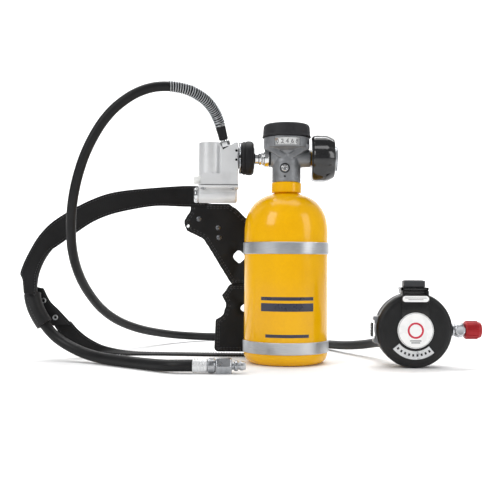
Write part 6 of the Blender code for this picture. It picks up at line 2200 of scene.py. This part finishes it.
# ---------------------------------------------------------------- demand regulator
@dataclass
class Regulator:
    """Disc-shaped demand regulator with its switch, latch, labels and purge valve."""

    bar_width: float = 0.0310
    label_radius: float = 0.0203
    arc_inner: float = 0.0228
    arc_outer: float = 0.0336
    centre: Vector = field(default_factory=Vector)
    radius: float = 0.0433

    def build(self) -> None:
        """Make every piece of the regulator."""
        low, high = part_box("regulator_cover")
        self.radius = (high.x - low.x) / 2
        self.centre = Vector(((low.x + high.x) / 2, low.y + 0.0020, (low.z + high.z) / 2))
        self.build_shells(low, high)
        self.build_labels()
        self.build_switch()
        self.build_latch()
        self.build_back()
        self.build_purge()

    def build_shells(self, low: Vector, high: Vector) -> None:
        """Make the front cover with its raised bar, and the back shell.

        Args:
            low: The cover's lowest corner.
            high: Its highest corner.
        """
        radius, depth = self.radius, high.y - low.y - 0.0020
        place = (self.centre.x, high.y, self.centre.z)
        bm = bmesh.new()
        inner = radius - 0.0025
        cover = [(0, depth - 0.0025), (inner, depth - 0.0025), (inner, 0), (radius - 0.0004, 0),
                 (radius, 0.0005), (radius, depth - 0.0048), (radius - 0.0012, depth - 0.0022),
                 (radius - 0.0024, depth - 0.0013), (radius - 0.0032, depth - 0.0013),
                 (radius - 0.0040, depth - 0.0006), (radius - 0.0075, depth), (0, depth)]
        turn_profile(bm, soften(cover, 0.0005), place, -ALONG_Y, 160)
        finish_piece("visual_regulator_cover", bm, NYLON)
        bm = bmesh.new()
        half = self.bar_width / 2
        front, top = low.y, high.z - 0.0030
        add_block(bm, (self.centre.x - half, front, self.centre.z - 0.001),
                  (self.centre.x + half, front + 0.0030, top), 0.0006, 3)
        finish_piece("cover_bar", bm, SMOOTH_NYLON)
        low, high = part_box("regulator_body")
        depth, outer = high.y - low.y, (high.x - low.x) / 2
        spout = 0.0155
        shell = [(spout, 0), (outer - 0.0034, 0), (outer - 0.0010, 0.0012), (outer, 0.0036),
                 (outer, 0.0120), (outer - 0.0008, 0.0124), (outer - 0.0008, 0.0136), (outer, 0.0140),
                 (outer, depth), (outer - 0.0020, depth), (outer - 0.0020, 0.0025), (spout, 0.0025)]
        turned_piece("visual_regulator_body", shell, (self.centre.x, high.y, self.centre.z), -ALONG_Y,
                     NYLON, segments=160, rounding=0.0004)

    def flat_ring(self, name: str, inner: float, outer: float, start: float, end: float, front: float,
                  thick: float, finish: Finish, steps: int = 64) -> None:
        """Lay a thin flat sector of a ring on the cover.

        Args:
            name: The piece's name.
            inner: Its inner radius; zero makes a full disc.
            outer: Its outer radius.
            start: Angle of its first end in degrees, from +X towards +Z.
            end: Angle of its last end.
            front: Y of its face.
            thick: Its thickness.
            finish: Its material.
            steps: Steps along it.
        """
        bm = bmesh.new()
        if end - start >= 360:
            disc = [(inner, 0), (outer, 0), (outer, thick), (inner, thick)]
            turn_profile(bm, disc, (self.centre.x, front + thick, self.centre.z), -ALONG_Y, 96)
        else:
            corners = [(inner, front), (outer, front), (outer, front + thick), (inner, front + thick)]
            turns = [math.radians(start + (end - start) * step / steps) for step in range(steps + 1)]
            add_bar(bm, [[(self.centre.x + r * math.cos(turn), y, self.centre.z + r * math.sin(turn))
                          for r, y in corners] for turn in turns])
        finish_piece(name, bm, finish, sharp=30)

    def build_labels(self) -> None:
        """Lay the centre label, the arc label and the small top label, all without words."""
        face, bar = self.centre.y, self.centre.y - 0.0020
        self.flat_ring("centre_label", 0, self.label_radius, 0, 360, bar - 0.0003, 0.0022, LABEL_WHITE)
        ink = bar - 0.00036
        self.flat_ring("label_edge_ring", self.label_radius - 0.0010, self.label_radius - 0.0006, 0, 360,
                       ink, 0.0002, INK_GREY)
        self.flat_ring("label_red_ring", 0.0070, 0.0092, 0, 360, ink, 0.0002, INK_RED)
        bm = bmesh.new()
        for z, half, tall in ((-0.0116, 0.0064, 0.0006), (-0.0138, 0.0050, 0.0006)):
            add_block(bm, (self.centre.x - half, ink, self.centre.z + z - tall),
                      (self.centre.x + half, ink + 0.0002, self.centre.z + z + tall))
        finish_piece("label_rule_lines", bm, INK_GREY)
        self.flat_ring("arc_label", self.arc_inner, self.arc_outer, 218, 312, face - 0.0003, 0.0006,
                       INK_BLACK)
        self.flat_ring("arc_label_field", self.arc_inner + 0.0007, self.arc_outer - 0.0007, 219.5, 310.5,
                       face - 0.0004, 0.0002, LABEL_SILVER)
        for number in range(9):
            middle = 226 + 78 * number / 8
            self.flat_ring(f"arc_mark_{number + 1}", 0.0268, 0.0296, middle - 2.3, middle + 2.3,
                           face - 0.00046, 0.0002, INK_BLACK, steps=4)
        bm = bmesh.new()
        half, end = 0.0150, 0.0034
        rim = [(self.centre.x + side * (half - end) + end * math.cos(turn),
                self.centre.z + 0.0358 + end * math.sin(turn))
               for side, start in ((1, -0.5), (-1, 0.5))
               for turn in (math.pi * (start + step / 10) for step in range(11))]
        add_prism(bm, rim, bar - 0.0003, bar + 0.0003)
        finish_piece("top_label", bm, LABEL_WHITE)
        bm = bmesh.new()
        for z, half in ((0.0369, 0.0120), (0.0350, 0.0085)):
            add_block(bm, (self.centre.x - half, bar - 0.00036, self.centre.z + z - 0.0003),
                      (self.centre.x + half, bar - 0.0001, self.centre.z + z + 0.0003))
        finish_piece("top_label_lines", bm, INK_GREY)

    def build_switch(self) -> None:
        """Make the switch's stepped housing and the grey switch with its grip ribs."""
        low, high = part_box("switch_housing")
        middle = (low.y + high.y) / 2
        bm = bmesh.new()
        add_block(bm, (low.x + 0.0003, low.y + 0.0004, low.z + 0.0008),
                  (high.x - 0.0003, high.y - 0.0004, high.z - 0.0030), 0.0008, 3)
        rim = 0.0030
        inner_x, inner_y = 0.0130, 0.0071
        for corner_low, corner_high in (
                ((low.x, low.y, high.z - rim), (self.centre.x - inner_x, high.y, high.z)),
                ((self.centre.x + inner_x, low.y, high.z - rim), (high.x, high.y, high.z)),
                ((low.x, low.y, high.z - rim), (high.x, middle - inner_y, high.z)),
                ((low.x, middle + inner_y, high.z - rim), (high.x, high.y, high.z))):
            add_block(bm, corner_low, corner_high, 0.0006, 2)
        finish_piece("visual_switch_housing", bm, SMOOTH_NYLON)
        bm = bmesh.new()
        cheek = 0.0016
        for side in (-1, 1):
            x = self.centre.x + side * 0.0136
            add_block(bm, (x - cheek, -0.0531, self.centre.z + 0.0335),
                      (x + cheek, low.y + 0.001, high.z - 0.0035), 0.0005)
        finish_piece("housing_cheeks", bm, SMOOTH_NYLON)
        low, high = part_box("donning_switch")
        bm = bmesh.new()
        add_block(bm, low, high, 0.0012, 4)
        finish_piece("visual_donning_switch", bm, GREY_NYLON, body="switch")
        bm = bmesh.new()
        for number in range(5):
            y = low.y + 0.0022 + number * 0.0021
            add_block(bm, (low.x + 0.0020, y, high.z - 0.0003),
                      (high.x - 0.0020, y + 0.0008, high.z + 0.0004), 0.00025)
        finish_piece("switch_ribs", bm, GREY_NYLON, body="switch")

    def build_latch(self) -> None:
        """Make the wire-form frame with its two rollers, and the black latch."""
        low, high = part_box("latch_frame")
        middle, x = (low.y + high.y) / 2, self.centre.x - self.radius
        bm = bmesh.new()
        for side in (-1, 1):
            z = self.centre.z + side * 0.0128
            roller = disc(0.0026, -0.0042, 0.0042)
            turn_profile(bm, soften(roller, 0.0006), (x - 0.0008, middle, z), -ALONG_Y, 32)
            arm = [Vector((x - 0.0008, middle, z)), Vector((x - 0.0004, middle, z - side * 0.0040)),
                   Vector((x - 0.0012, middle, z - side * 0.0052))]
            add_tube(bm, arm, 0.0011, sides=12)
        add_block(bm, (x - 0.0012, middle - 0.0046, low.z + 0.0010),
                  (x + 0.0012, middle + 0.0046, low.z + 0.0020), 0.0003)
        plate = [(self.centre.x + (self.radius + reach) * math.cos(a),
                  self.centre.z + (self.radius + reach) * math.sin(a))
                 for reach, turn in ((0.0009, 1), (0.0003, -1))
                 for a in (math.pi + turn * math.radians(22 * (2 * s / 16 - 1)) for s in range(17))]
        add_prism(bm, plate, middle - 0.0046, middle + 0.0046)
        finish_piece("visual_latch_frame", bm, GREY_CASTING, sharp=30)
        low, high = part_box("regulator_latch")
        bm = bmesh.new()
        add_block(bm, low, high, 0.0006, 3)
        for number in range(4):
            z = self.centre.z - 0.0051 + number * 0.0034
            add_block(bm, (low.x - 0.0003, low.y + 0.0012, z - 0.0005),
                      (low.x + 0.0004, high.y - 0.0012, z + 0.0005), 0.00015)
        finish_piece("visual_regulator_latch", bm, SMOOTH_NYLON, body="latch")

    def build_back(self) -> None:
        """Make the mask spout with its seal groove and the hose inlet."""
        low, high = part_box("mask_spout")
        radius, length = (high.x - low.x) / 2, high.y - low.y
        bore_radius = radius - 0.0030
        spout = [(bore_radius, 0), (radius, 0), (radius, 0.0030), (radius - 0.0010, 0.0034),
                 (radius - 0.0010, length * 0.55), (radius - 0.0018, length * 0.58),
                 (radius - 0.0018, length * 0.68), (radius - 0.0008, length * 0.71),
                 (radius - 0.0006, length - 0.0016), (radius - 0.0014, length), (bore_radius, length)]
        turned_piece("visual_mask_spout", spout, (self.centre.x, low.y, self.centre.z), ALONG_Y, NYLON,
                     segments=96, rounding=0.0004)
        seal = [(radius - 0.0020, length * 0.585), (radius - 0.0006, length * 0.60),
                (radius - 0.0002, length * 0.63), (radius - 0.0006, length * 0.66),
                (radius - 0.0020, length * 0.675)]
        turned_piece("spout_seal", seal, (self.centre.x, low.y, self.centre.z), ALONG_Y, MOULDED_RUBBER,
                     segments=96)
        low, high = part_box("hose_inlet")
        place = ((low.x + high.x) / 2, low.y, (low.z + high.z) / 2)
        radius, length = (high.x - low.x) / 2, high.y - low.y
        inlet = [(0, 0), (radius, 0), (radius, length * 0.46), (radius - 0.0008, length * 0.50)]
        for step in range(5):
            start = length * (0.54 + 0.08 * step)
            inlet += [(radius - 0.0006, start), (radius - 0.0006, start + 0.0016),
                      (radius - 0.0013, start + 0.0019), (radius - 0.0013, start + 0.0027)]
        inlet += [(radius - 0.0009, length - 0.0010), (radius - 0.0012, length), (0, length)]
        turned_piece("visual_hose_inlet", inlet, place, ALONG_Y, NYLON, segments=64, rounding=0.0002)

    def build_purge(self) -> None:
        """Make the silver purge valve and its red fluted knob."""
        low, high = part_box("purge_valve")
        knob_low, knob_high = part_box("purge_knob")
        axis_y, axis_z = (knob_low.y + knob_high.y) / 2, self.centre.z
        bm = bmesh.new()
        ball = low.x + 0.0085
        radius = 0.0090
        neck = [(0, 0), (0.0070, 0), (0.0070, 0.0022), (0.0058, 0.0030), (0.0058, 0.0060), (0, 0.0060)]
        turn_profile(bm, soften(neck, 0.0004), (low.x + 0.0004, axis_y, axis_z), ALONG_X, 48)
        sphere = [(radius * math.sin(a), -radius * math.cos(a)) for a in
                  (math.pi * s / 32 for s in range(33))]
        sphere[0], sphere[-1] = (0.0, -radius), (0.0, radius)
        turn_profile(bm, sphere, (ball, axis_y, axis_z), ALONG_Y, 64)
        boss = [(0, 0.0078), (0.0056, 0.0078), (0.0056, 0.0093), (0.0046, 0.0096), (0.0046, 0.0090),
                (0, 0.0090)]
        turn_profile(bm, soften(boss, 0.0003), (ball, axis_y, axis_z), -ALONG_Y, 48)
        stem = [(0, 0.0060), (0.0048, 0.0060), (0.0048, 0.0105), (0.0030, 0.0112),
                (0.0030, high.x - ball), (0, high.x - ball)]
        turn_profile(bm, soften(stem, 0.0003), (ball, axis_y, axis_z), ALONG_X, 48)
        finish_piece("visual_purge_valve", bm, TURNED_STEEL)
        reach, length = (knob_high.z - knob_low.z) / 2, knob_high.x - knob_low.x
        knob = [(0.0033, length * 0.36), (0.0033, 0), (reach - 0.0010, 0), (reach - 0.0002, 0.0012),
                (reach - 0.0004, length * 0.80), (reach - 0.0012, length * 0.83),
                (reach - 0.0016, length * 0.95), (reach - 0.0030, length), (0, length), (0, length * 0.36)]
        turned_piece("visual_purge_knob", knob, (knob_low.x, axis_y, axis_z), ALONG_X, ANODISED_RED,
                     body="knob", segments=96, rounding=0.0005)
        ring_piece("knob_flutes", 20, reach - 0.0004, (0.0010, 0.0013, length * 0.66),
                   length * 0.42, (knob_low.x, axis_y, axis_z), ALONG_X, ANODISED_RED, body="knob")


def dress_inner_nodes() -> None:
    """Give every CAD node that stays in sight the finish of its slot."""
    for name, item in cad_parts.items():
        for holder in item.material_slots:
            key = holder.material.name.split(".")[0] if holder.material else ""
            finish = SLOT_FINISHES.get(key, TURNED_STEEL)
            holder.material = finish.material()
        LOG.info("%s keeps its CAD shape", name)


def main() -> None:
    """Build every piece in order and report it."""
    logging.basicConfig(level=logging.INFO, format="%(message)s")
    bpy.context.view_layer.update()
    studio = Studio()
    studio.place_camera()
    BreathingHose().build()
    airline = AirlineHose()
    airline.build()
    dress_inner_nodes()
    AirCylinder().build()
    WaistBelt().build(airline)
    HipPad().build()
    CylinderValve().build()
    PressureGauge().build()
    Handwheel().build()
    Coupling().build()
    Reducer().build()
    Regulator().build()
    studio.lay_board()
    studio.light()


if __name__ == "__main__":
    main()
